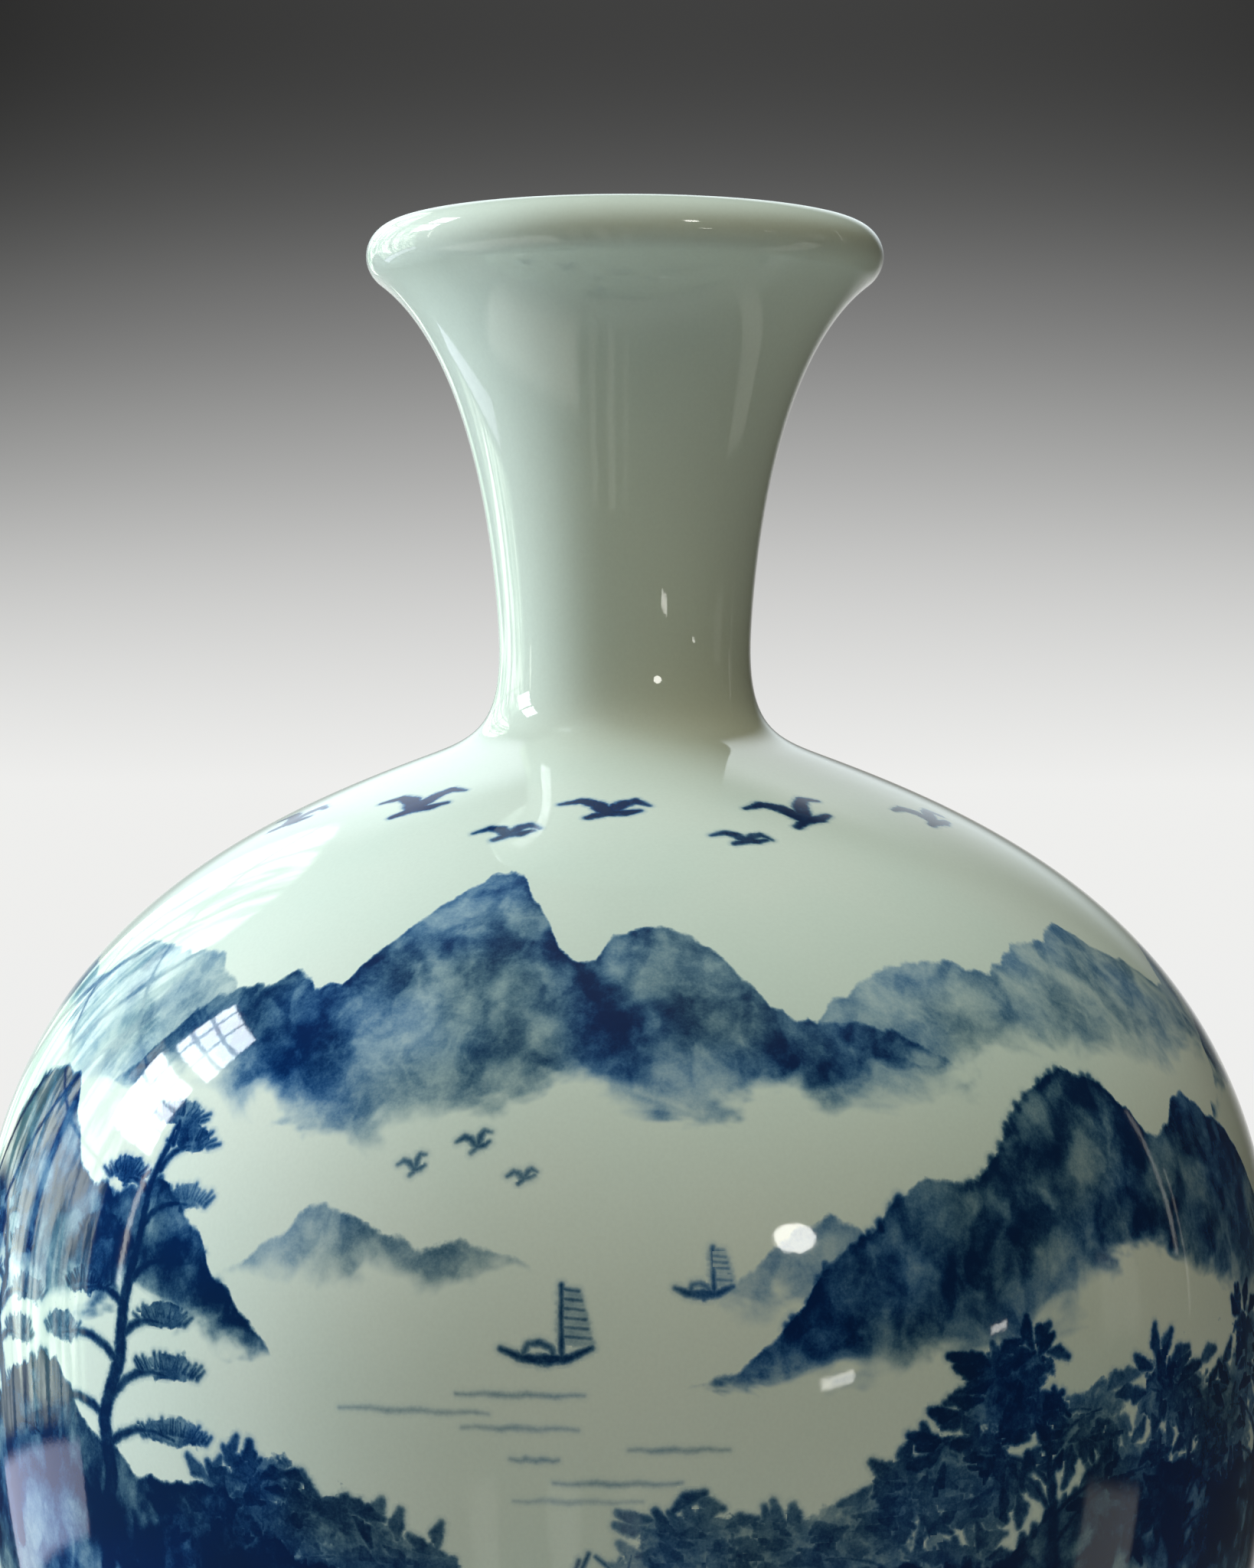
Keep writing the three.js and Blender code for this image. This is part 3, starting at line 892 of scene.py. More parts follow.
def paint_brushwork(piece, body, strokes):
    """Gives each face of the outside the strokes that lie on it, as places at its corners."""
    rise = BELLY_LENGTH - body.lengths
    rows, columns = len(rise) - 1, body.segments
    azimuth = body.azimuths
    grid = on_body(azimuth[None, :], np.broadcast_to(rise[:, None], (len(rise), len(azimuth))))
    middle_rise = (rise[:-1] + rise[1:]) / 2
    middle_azimuth = (azimuth[:-1] + azimuth[1:]) / 2
    middles = on_body(middle_azimuth[None, :], np.broadcast_to(middle_rise[:, None], (rows, columns)))
    best = np.full((STROKE_SLOTS, rows, columns), np.inf)
    chosen = np.full((STROKE_SLOTS, rows, columns), -1)
    starts, ways, sides, facts = [], [], [], []
    for number, (a0, r0, a1, r1, w0, w1, ink) in enumerate(strokes):
        start, end = on_body(a0, r0), on_body(a1, r1)
        way = end - start
        length = max(float(np.linalg.norm(way)), SHORTEST_STROKE)
        way = way / length
        mean_rise, mean_azimuth = (r0 + r1) / 2, (a0 + a1) / 2
        slope = -inward(BELLY_LENGTH - mean_rise)
        normal = np.array([slope[0] * math.sin(mean_azimuth), -slope[0] * math.cos(mean_azimuth),
                           slope[1]])
        starts.append(start)
        ways.append(way)
        sides.append(np.cross(normal, way))
        facts.append((length, w0, w1, ink))
        reach = max(w0, w1) + STROKE_REACH
        low, high = min(r0, r1) - reach, max(r0, r1) + reach
        inside = np.nonzero((middle_rise > low) & (middle_rise < high))[0]
        half = abs(a1 - a0) / 2 + reach / float(radius_at(mean_rise))
        across = np.nonzero(np.abs(wrapped(middle_azimuth - mean_azimuth)) < half)[0]
        if len(inside) == 0 or len(across) == 0:
            continue
        block = np.ix_(inside, across)
        gap = middles[block] - start
        share = np.clip(gap @ way / length, 0, 1)
        away = np.linalg.norm(gap - share[..., None] * way * length, axis=2) - (w0 + (w1 - w0) * share)
        score = np.where(away < STROKE_REACH, np.maximum(away, -MM) - INK_RANK * ink, np.inf)
        carried = np.full(score.shape, number)
        for slot in range(STROKE_SLOTS):
            held, holder = best[slot][block], chosen[slot][block]
            wins = score < held
            best[slot][block] = np.where(wins, score, held)
            chosen[slot][block] = np.where(wins, carried, holder)
            score, carried = np.where(wins, held, score), np.where(wins, holder, carried)
    starts, ways, sides, facts = (np.array(a) for a in (starts, ways, sides, facts))
    loops = len(piece.data.loops)
    corner_points = np.stack([grid[:-1, :-1], grid[1:, :-1], grid[1:, 1:], grid[:-1, 1:]], axis=2)
    shown = rows * columns * 4
    for slot in range(STROKE_SLOTS):
        number = np.maximum(chosen[slot], 0)
        gap = corner_points - starts[number][:, :, None, :]
        a = (gap * ways[number][:, :, None, :]).sum(axis=3)
        b = (gap * sides[number][:, :, None, :]).sum(axis=3)
        length, w0, w1, ink = (np.broadcast_to(facts[number][:, :, None, i], a.shape) for i in range(4))
        ink = np.where((chosen[slot] >= 0)[:, :, None], ink, 0)
        fields = {"place": (a / MM, b / MM, length / MM), "brush": (w0 / MM, w1 / MM, ink)}
        for name, values in fields.items():
            field = np.zeros((loops, 3), np.float32)
            field[:shown] = np.stack(values, axis=3).reshape(-1, 3)
            store(piece, f"stroke_{name}_{slot}", "CORNER", field)


# Shader helpers. Scales of grain are written per millimetre, as so many PER_MM.

PER_MM = 1000.0


class Shader:
    """Adds nodes to a tree. A value that is a socket is linked, and any other is set."""

    def __init__(self, tree):
        self.tree = tree

    def put(self, socket, value):
        if isinstance(value, bpy.types.NodeSocket):
            self.tree.links.new(value, socket)
        else:
            socket.default_value = value

    def node(self, kind, inputs=None, **settings):
        made = self.tree.nodes.new(kind)
        for name, value in settings.items():
            setattr(made, name, value)
        for name, value in (inputs or {}).items():
            self.put(made.inputs[name], value)
        return made

    def math(self, operation, *values, clamp=False):
        made = self.node("ShaderNodeMath", operation=operation, use_clamp=clamp)
        for socket, value in zip(made.inputs, values):
            self.put(socket, value)
        return made.outputs[0]

    def plus(self, first, *others):
        for other in others:
            first = self.math("ADD", first, other)
        return first

    def minus(self, first, second):
        return self.math("SUBTRACT", first, second)

    def times(self, first, *others):
        for other in others:
            first = self.math("MULTIPLY", first, other)
        return first

    def times_plus(self, first, second, third):
        return self.math("MULTIPLY_ADD", first, second, third)

    def waver(self, noise, size):
        """A noise moved to lie round 0, of a size."""
        return self.times(self.minus(noise, 0.5), size)

    def stretched(self, where, upright):
        """A position whose height counts for another share than its other two."""
        made = self.node("ShaderNodeVectorMath", {0: where, 1: (1, 1, upright)}, operation="MULTIPLY")
        return made.outputs[0]

    def noise(self, where, per_metre, detail=2.0, roughness=0.5, distortion=0.0):
        made = self.node("ShaderNodeTexNoise", {
            "Vector": where, "Scale": per_metre, "Detail": detail,
            "Roughness": roughness, "Distortion": distortion,
        })
        return made.outputs["Fac"]

    def ramp(self, value, low, high, start=0.0, end=1.0):
        made = self.node("ShaderNodeMapRange", {
            "Value": value, "From Min": low, "From Max": high, "To Min": start, "To Max": end,
        }, interpolation_type="SMOOTHSTEP")
        return made.outputs["Result"]

    def ramp_linear(self, value, low, high):
        made = self.node("ShaderNodeMapRange", {"Value": value, "From Min": low, "From Max": high})
        return made.outputs["Result"]

    def split(self, vector):
        made = self.node("ShaderNodeSeparateXYZ", {"Vector": vector})
        return made.outputs["X"], made.outputs["Y"], made.outputs["Z"]

    def colour_of(self, red, green, blue):
        made = self.node("ShaderNodeCombineColor", {"Red": red, "Green": green, "Blue": blue})
        return made.outputs[0]

    def grey(self, amount):
        return self.colour_of(amount, amount, amount)

    def mix_colour(self, share, first, second, blend="MIX"):
        made = self.node("ShaderNodeMix", data_type="RGBA", blend_type=blend)
        self.put(made.inputs["Factor"], share)
        sockets = [s for s in made.inputs if s.type == "RGBA"]
        self.put(sockets[0], first)
        self.put(sockets[1], second)
        return next(s for s in made.outputs if s.type == "RGBA")

    def tinted(self, first, second):
        return self.mix_colour(1.0, first, second, "MULTIPLY")

    def attribute(self, name):
        made = self.node("ShaderNodeAttribute", attribute_type="GEOMETRY", attribute_name=name)
        return made.outputs["Vector"]

    def group(self, tree, **inputs):
        return self.node("ShaderNodeGroup", inputs, node_tree=tree).outputs

    def mix_surfaces(self, share, first, second):
        made = self.node("ShaderNodeMixShader", {0: share, 1: first, 2: second})
        return made.outputs[0]


def new_group(name, inputs, outputs):
    """A shader node group, its inputs and outputs given as name and socket kind."""
    tree = bpy.data.node_groups.new(name, "ShaderNodeTree")
    for in_out, sockets in (("INPUT", inputs), ("OUTPUT", outputs)):
        for label, kind in sockets.items():
            tree.interface.new_socket(name=label, in_out=in_out, socket_type="NodeSocket" + kind)
    shader = Shader(tree)
    given = shader.node("NodeGroupInput").outputs
    return tree, shader, given, shader.node("NodeGroupOutput").inputs


def new_material(name):
    """A bare material, its shader tree and the position on the object in it."""
    material = bpy.data.materials.new(name)
    material.use_nodes = True
    material.node_tree.nodes.clear()
    shader = Shader(material.node_tree)
    return material, shader, shader.node("ShaderNodeTexCoord").outputs["Object"]


def show(shader, surface, output="ShaderNodeOutputMaterial"):
    shader.put(shader.node(output).inputs["Surface"], surface)


# Glaze, cobalt and biscuit

GLAZE_THIN = (0.76, 0.82, 0.76, 1)
GLAZE_THICK = (0.69, 0.80, 0.74, 1)
# Painted shade: the darker tint that the neck's glaze is given, for the shade under the lip
NECK_PAINTED_SHADE = (0.65, 0.72, 0.66, 1)
NECK_SHADE_FROM = 0.27  # the height from which the neck's glaze is painted darker, as painted shade
NECK_SHADE_FULL = 0.3
GLAZE_GLOSS = (0.03, 0.05)  # lowest and highest roughness
GLAZE_IOR = 1.52
THROWING_WAVE = 0.09  # millimetres
PEEL_WAVE = 0.004
# What a load of cobalt takes away in red, green and blue, and what more of it for a heavier load
COBALT_DEPTH = 0.724
COBALT_FULL = 3.8  # the load over which more cobalt hardly darkens
COBALT_BEND = 1.2
COBALT_PURE = ((1.35, 0.11), (1.0, 0.0), (0.5, 0.01))
COBALT_SLATE = ((1.25, 0.08), (1.0, 0.0), (0.78, -0.045))
OVERPAINTED = 0.35  # the share of the fainter load that adds to the stronger one over it
BISCUIT = (0.78, 0.70, 0.585, 1)
GROUND_RIM = (0.86, 0.8, 0.7, 1)
SLIP_GRIT = (0.84, 0.79, 0.7, 1)
SLIP_ROUGHNESS = (0.62, 0.8)
RIM_ROUGHNESS = 0.72
GLAZED_SMOOTHER = 0.65  # than the bare rim
GLAZE_STOPS = (1.9 * MM, 2.1 * MM)  # heights between which the glaze on the foot ends
GLAZE_STOPS_SWING = 1.2 * MM


def hill_wash_group():
    """The wash of one range of hills: crisp along its crest, lobed where it ends in mist."""
    tree, shader, given, out = new_group(
        "hill wash", {"Field": "Vector", "Position": "Vector"}, {"Ink": "Float", "Cover": "Float"})
    below, over, ink = shader.split(given["Field"])
    where = given["Position"]
    wander = shader.waver(shader.noise(where, 0.2 * PER_MM, 3, 0.55), 3.0)
    tremble = shader.waver(shader.noise(where, 1.1 * PER_MM, 2, 0.6), 0.9)
    depth = shader.plus(below, shader.plus(wander, tremble))
    cover = shader.ramp(depth, -0.5, 0.75)
    pooled = shader.math("EXPONENT", shader.times(shader.math("MAXIMUM", depth, 0), -0.8))
    lobes = shader.noise(shader.stretched(where, 1.6), 0.065 * PER_MM, 3, 0.55, 0.5)
    mist = shader.ramp(shader.plus(over, shader.waver(lobes, 22)), 0, 7)
    blots = shader.noise(where, 0.09 * PER_MM, 2, 0.4, 0.35)
    brushed = shader.noise(shader.stretched(where, 0.7), 0.19 * PER_MM, 3, 0.5, 0.55)
    wool = shader.noise(where, 0.62 * PER_MM, 3, 0.65)
    texture = shader.times(
        shader.ramp(blots, 0.36, 0.64, 0.62, 1.36),
        shader.ramp(brushed, 0.38, 0.62, 0.74, 1.22),
        shader.ramp(wool, 0.25, 0.75, 0.84, 1.16),
    )
    load = shader.times(ink, texture, shader.times_plus(pooled, 0.22, 1), mist)
    shader.put(out["Ink"], shader.times(load, cover))
    shader.put(out["Cover"], cover)
    return tree


def foliage_mass_group():
    """Wet masses of leaves: patches with a broken, lobed edge and an uneven load."""
    tree, shader, given, out = new_group(
        "foliage mass", {"Field": "Vector", "Position": "Vector"}, {"Ink": "Float"})
    field, ink, _ = shader.split(given["Field"])
    where = given["Position"]
    broken = shader.waver(shader.noise(where, 0.34 * PER_MM, 3, 0.55), 1.5)
    mask = shader.ramp(shader.plus(field, broken), 0.36, 0.66)
    load = shader.ramp(shader.noise(where, 0.24 * PER_MM, 3, 0.6, 0.5), 0.3, 0.7, 0.5, 1.12)
    shader.put(out["Ink"], shader.times(ink, load, mask))
    return tree


def brush_stroke_group():
    """The ink of one stroke: a tapered line with round ends, bled a little into the glaze."""
    tree, shader, given, out = new_group(
        "brush stroke", {"Place": "Vector", "Brush": "Vector", "Tremble": "Float"}, {"Ink": "Float"})
    along_it, across, length = shader.split(given["Place"])
    start_width, end_width, ink = shader.split(given["Brush"])
    share = shader.math("DIVIDE", along_it, length, clamp=True)
    past = shader.minus(along_it, shader.times(share, length))
    away = shader.math("SQRT", shader.plus(shader.times(past, past), shader.times(across, across)))
    width = shader.plus(start_width, shader.times(shader.minus(end_width, start_width), share))
    shaken = shader.times(given["Tremble"], shader.ramp(width, 0.1, 1.1, 0.3, 1))
    away = shader.plus(shader.minus(away, width), shaken)
    body = shader.ramp(away, -0.5, 0.6, 0.86, 0)
    halo = shader.ramp(away, -0.3, 1.4, 0.14, 0)
    shader.put(out["Ink"], shader.times(ink, shader.plus(body, halo)))
    return tree


def cobalt_group():
    """What a load of cobalt under the glaze leaves of the glaze's own colour."""
    tree, shader, given, out = new_group(
        "cobalt under glaze", {"Glaze": "Color", "Ink": "Float", "Slate": "Float"}, {"Color": "Color"})
    load = shader.times(given["Ink"], COBALT_DEPTH)
    load = shader.math("SMOOTH_MIN", load, COBALT_FULL, COBALT_BEND)
    kept = []
    for pure, slate in zip(COBALT_PURE, COBALT_SLATE):
        share, growth = (shader.times_plus(given["Slate"], s - p, p) for p, s in zip(pure, slate))
        taken = shader.times(load, shader.times_plus(load, growth, share))
        kept.append(shader.math("EXPONENT", shader.times(taken, -1)))
    shader.put(out["Color"], shader.tinted(given["Glaze"], shader.colour_of(*kept)))
    return tree


def glaze_skin_group():
    """The clear glaze: its tint, thicker and greener in places, painted darker up the neck as painted
    shade, and the waver of its surface.
    """
    tree, shader, given, out = new_group("glaze skin", {"Position": "Vector"}, {
        "Color": "Color", "Roughness": "Float", "Height": "Float"})
    where = given["Position"]
    clouds = shader.noise(where, 0.014 * PER_MM, 3, 0.5)
    tint = shader.mix_colour(shader.ramp(clouds, 0.3, 0.7), GLAZE_THIN, GLAZE_THICK)
    # Painted shade: from this height up the neck, the glaze colour is darker for the shade under the lip
    neck_shade = shader.ramp(shader.split(where)[2], NECK_SHADE_FROM, NECK_SHADE_FULL)
    tint = shader.mix_colour(neck_shade, tint, NECK_PAINTED_SHADE)
    grain = shader.ramp(shader.noise(where, 1.6 * PER_MM, 2, 0.5), 0.25, 0.75, 0.985, 1.015)
    throwing = shader.noise(shader.stretched(where, 0.35), 0.05 * PER_MM, 2, 0.4)
    peel = shader.noise(where, 0.7 * PER_MM, 2, 0.5)
    relief = shader.plus(shader.times(throwing, THROWING_WAVE), shader.times(peel, PEEL_WAVE))
    shader.put(out["Color"], shader.tinted(tint, shader.grey(grain)))
    shader.put(out["Roughness"], shader.ramp(clouds, 0.2, 0.8, *GLAZE_GLOSS))
    shader.put(out["Height"], relief)
    return tree


def finish_glaze(shader, skin, colour, roughness=None):
    """The glossy coat over a colour, with the skin's waver as bump."""
    bump = shader.node("ShaderNodeBump", {
        "Strength": 1.0, "Distance": MM, "Height": skin["Height"]}).outputs["Normal"]
    show(shader, shader.node("ShaderNodeBsdfPrincipled", {
        "Base Color": colour, "Roughness": roughness or skin["Roughness"],
        "IOR": GLAZE_IOR, "Normal": bump}).outputs[0])


def plain_glaze(groups):
    material, shader, where = new_material("plain_glaze")
    skin = shader.group(groups["skin"], Position=where)
    finish_glaze(shader, skin, skin["Color"])
    return material


def painted_glaze(groups):
    """The landscape: ranges from far to near, masses of foliage and the brushwork on top."""
    material, shader, where = new_material("painted_glaze")
    skin = shader.group(groups["skin"], Position=where)
    total = 0.0
    for name in RANGES:
        hill = shader.group(groups["hill"], Field=shader.attribute(name), Position=where)
        hidden = shader.times(hill["Cover"], shader.math("MINIMUM", hill["Ink"], 1))
        total = shader.plus(shader.times(total, shader.minus(1, hidden)), hill["Ink"])
    drawn = shader.group(groups["mass"], Field=shader.attribute("foliage"), Position=where)["Ink"]
    tremble = shader.waver(shader.noise(where, 0.8 * PER_MM, 3, 0.6), 1.1)
    for slot in range(STROKE_SLOTS):
        place = shader.attribute(f"stroke_place_{slot}")
        brush = shader.attribute(f"stroke_brush_{slot}")
        mark = shader.group(groups["stroke"], Place=place, Brush=brush, Tremble=tremble)["Ink"]
        drawn = shader.math("MAXIMUM", drawn, mark)
    uneven = shader.ramp(shader.noise(where, 0.42 * PER_MM, 3, 0.6), 0.3, 0.7, 0.78, 1.15)
    drawn = shader.times(drawn, uneven)
    fainter, stronger = (shader.math(kind, total, drawn) for kind in ("MINIMUM", "MAXIMUM"))
    total = shader.times_plus(fainter, OVERPAINTED, stronger)
    grains = shader.ramp(shader.noise(where, 2.4 * PER_MM, 2, 0.6), 0.25, 0.75, 0.9, 1.1)
    total = shader.times(total, grains)
    slate = shader.ramp(shader.noise(where, 0.03 * PER_MM, 2, 0.5), 0.35, 0.65)
    colour = shader.group(groups["cobalt"], Glaze=skin["Color"], Ink=total, Slate=slate)["Color"]
    finish_glaze(shader, skin, colour)
    return material


def foot_glaze(groups):
    """Glaze on the foot that stops short of the ground edge of the ring, which is bare."""
    material, shader, where = new_material("foot_glaze")
    skin = shader.group(groups["skin"], Position=where)
    edge = shader.waver(shader.noise(where, 0.12 * PER_MM, 3, 0.6), GLAZE_STOPS_SWING)
    glazed = shader.ramp(shader.plus(shader.split(where)[2], edge), *GLAZE_STOPS)
    grit = shader.ramp(shader.noise(where, 1.1 * PER_MM, 4, 0.6), 0.3, 0.7)
    bare = shader.mix_colour(grit, BISCUIT, GROUND_RIM)
    colour = shader.mix_colour(glazed, bare, skin["Color"])
    roughness = shader.minus(RIM_ROUGHNESS, shader.times(glazed, GLAZED_SMOOTHER))
    finish_glaze(shader, skin, colour, roughness)
    return material


def biscuit_clay():
    """Unglazed joining slip: matt, with a fine grit."""
    material, shader, where = new_material("biscuit_clay")
    grit = shader.noise(where, 0.9 * PER_MM, 4, 0.6)
    bump = shader.node("ShaderNodeBump", {
        "Strength": 0.4, "Distance": 0.2 * MM, "Height": grit}).outputs["Normal"]
    show(shader, shader.node("ShaderNodeBsdfPrincipled", {
        "Base Color": shader.mix_colour(grit, BISCUIT, SLIP_GRIT),
        "Roughness": shader.ramp(grit, 0.2, 0.8, *SLIP_ROUGHNESS), "Normal": bump}).outputs[0])
    return material


# The vase


def make_vase():
    groups = {
        "skin": glaze_skin_group(), "hill": hill_wash_group(), "mass": foliage_mass_group(),
        "stroke": brush_stroke_group(), "cobalt": cobalt_group(),
    }
    plain = plain_glaze(groups)
    painted = painted_glaze(groups)
    foot_look = foot_glaze(groups)
    slip_look = biscuit_clay()
    painting = paint_landscape()
    dress("neck", Turned("thrown_neck", neck_section(), NECK_SEGMENTS), plain)
    for node, name, upper, lower in (
        ("upper_body", "painted_shoulder", NECK_SEAM, BELLY_SEAM),
        ("lower_body", "painted_lower_body", BELLY_SEAM, FOOT_SEAM),
    ):
        runs, lengths = body_section(upper, lower)
        body = Turned(name, runs, BODY_SEGMENTS, lengths)
        piece = dress(node, body, painted)
        paint_washes(piece, body, painting)
        paint_brushwork(piece, body, painting.strokes)
    dress("foot", Turned("turned_foot", foot_section(), FOOT_SEGMENTS), foot_look)
    for node, name, seam in (
        ("neck_slip_seam", "neck_slip_band", NECK_SEAM),
        ("belly_slip_seam", "belly_slip_band", BELLY_SEAM),
        ("foot_slip_seam", "foot_slip_band", FOOT_SEAM),
    ):
        dress(node, Turned(name, slip_section(seam), SLIP_SEGMENTS), slip_look)


def dress(node, turned, material):
    piece = turned.object()
    piece.data.materials.append(material)
    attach(piece, "root")
    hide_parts(node)
    return piece


# Studio

CAMERA_PLACE = (0.0004, -0.747, 0.279)
CAMERA_LENS = 91.93
CAMERA_SENSOR = 36
CLIP_NEAR, CLIP_FAR = 0.01, 30
ROOM_CENTRE = np.array([0, 0, 0.25])
LAMP_DISTANCE = 1.6
DEGREES = 180 / math.pi

DAYLIGHT = (0.8, 0.93, 1.0)
SKYLIGHT = (0.82, 0.955, 1.0)
SUNLIT = (1.0, 0.85, 0.5)
INDOOR = (1.0, 0.94, 0.67)
LAMPLIGHT = (1.0, 0.89, 0.6)
DIM_ROOM = (1.0, 1.0, 0.9, 1)
DIM_ROOM_STRENGTH = 0.03

# Lamps: azimuth and elevation in degrees, width and height, radiance and colour
LAMPS = {
    "window_light": (-103, 9, 0.5, 0.62, 29.5, DAYLIGHT),
    "garden_light": (-120, 8, 0.6, 0.6, 3.5, SUNLIT),
    "skylight": (-75, 74, 0.6, 0.6, 13.6, SKYLIGHT),
    "room_light": (-20, 55, 0.6, 0.6, 6.5, INDOOR),
    "right_fill": (78, 15, 0.8, 0.8, 1.2, LAMPLIGHT),
}

# What the glaze mirrors. A panel is its left, right, lower and upper edge in degrees, and how soft
# they are. Azimuth 0 is the camera's side and 90 the vase's right.
WINDOW_SASHES = ((-110.5, -95, 31.5, 41, 0.3), (-112.5, -97, 18, 29.3, 0.3))
WINDOW_UPRIGHTS = (-107.6, -102.2)
WINDOW_RAILS = (21.6, 25.4, 34.2, 37.4)
WINDOW_RADIANCE = 14
WINDOW_GLARE = -0.45  # below 0, so that the bars keep some of the light round them
WINDOW_TINT = (0.9, 0.97, 1)
GARDEN_SHADE = (0.2, 0.42, 0.28, 1)
GARDEN_SUN = (2.8, 3.15, 2.6, 1)
SILL = (-140, -108, -17, -12, 0.4)
SILL_RADIANCE = 1.8
SILL_TINT = (0.8, 0.82, 1.0)
DASH_RADIANCE = 8
LAMP_RADIANCE = 16
LAMP_CENTRE = (29.6, 17.2)
LAMP_HALF = (3.5, 2.8)
WALL_LEVEL = 0.025
WALL_PANELS = (  # each with its brightness
    ((109.8, 110.8, 2, 20, 0.4), 1.1), ((112.6, 113.1, -4, 11, 0.3), 0.8),
    ((86, 100, -80, -15, 0.8), 0.6), ((-26, -21.5, -80, -15, 0.5), 0.5),
    ((-13, -7.5, -80, -15, 0.5), 0.6), ((-1, 3, -80, -15, 0.6), 0.35),
    ((-96.2, -95.2, 1, 17, 0.3), 5.0), ((-100, -35, -80, -28, 4), 1.4), ((88, 98, -4, 6, 1), 0.3),
)
CEILING_GLOW = 0.2
GROUND_GLOW = 0.05
WALL_TINT = (1, 1, 0.9)
SKY_RADIANCE = 1.3
SKY_TINT = (0.86, 0.96, 1)
LAMP_TINT = (1, 0.98, 0.92)
# Azimuths to both sides between which the high light starts, and the walls give way to the backdrop
SKY_BEHIND = (150, 172)
BEHIND = (152, 174)

# The backdrop's brightness from the horizon up to its top, which is in degrees
BACKDROP_TOP = 12
BACKDROP_TINT = (1, 1, 0.985)
BACKDROP_LEVELS = [(0.0, 0.86), (1.0, 0.055), (0.2, 0.65), (0.4, 0.385), (0.57, 0.2), (0.75, 0.08)]
VIGNETTE_MIDDLE = 0.56  # across the picture
VIGNETTE_FALL = -1.5

FLOOR_RADIUS = 6.0
FLOOR_SEGMENTS = 96
FLOOR_SHADE = (0.8, 0.8, 0.79, 1)
FLOOR_PALE = (0.83, 0.83, 0.82, 1)
# Painted shade: the far floor's colour to every ray but the camera's
FLOOR_DIM = (0.05, 0.05, 0.045, 1)
FLOOR_GLOW = (0.86, 0.86, 0.85, 1)
FLOOR_ROUGHNESS = 0.8
FLOOR_GRAIN = 30  # per metre
# Distances from the vase between which the floor turns to glow, darkens as painted shade to all but the
# camera's rays, and leaves the mirroring
FLOOR_GLOWS = (0.3, 1.1)
FLOOR_DARKENS = (0.45, 1.1)
FLOOR_LEAVES = (0.25, 0.42)


def make_camera():
    data = bpy.data.cameras.new("camera")
    data.sensor_width = CAMERA_SENSOR
    data.lens = CAMERA_LENS
    data.clip_start = CLIP_NEAR
    data.clip_end = CLIP_FAR
    camera = bpy.data.objects.new("camera", data)
    camera.location = CAMERA_PLACE
    camera.rotation_euler = (math.pi / 2, 0, 0)
    bpy.context.scene.collection.objects.link(camera)
    bpy.context.scene.camera = camera


def toward(azimuth, elevation, distance):
    """A place round the vase, by azimuth and elevation in degrees."""
    a, e = math.radians(azimuth), math.radians(elevation)
    way = np.array([math.sin(a) * math.cos(e), -math.cos(a) * math.cos(e), math.sin(e)])
    return ROOM_CENTRE + way * distance


def soft_light(name, azimuth, elevation, wide, tall, radiance, colour):
    """A lamp that only lights: what the glaze mirrors is the room."""
    data = bpy.data.lights.new(name, "AREA")
    data.shape = "RECTANGLE"
    data.size = wide
    data.size_y = tall
    data.energy = radiance * math.pi * wide * tall
    data.color = colour
    lamp = bpy.data.objects.new(name, data)
    place = toward(azimuth, elevation, LAMP_DISTANCE)
    lamp.location = place
    lamp.rotation_euler = Vector(ROOM_CENTRE - place).to_track_quat("-Z", "Y").to_euler()
    lamp.visible_camera = False
    lamp.visible_glossy = False
    bpy.context.scene.collection.objects.link(lamp)


def make_lights():
    for name, values in LAMPS.items():
        soft_light(name, *values)


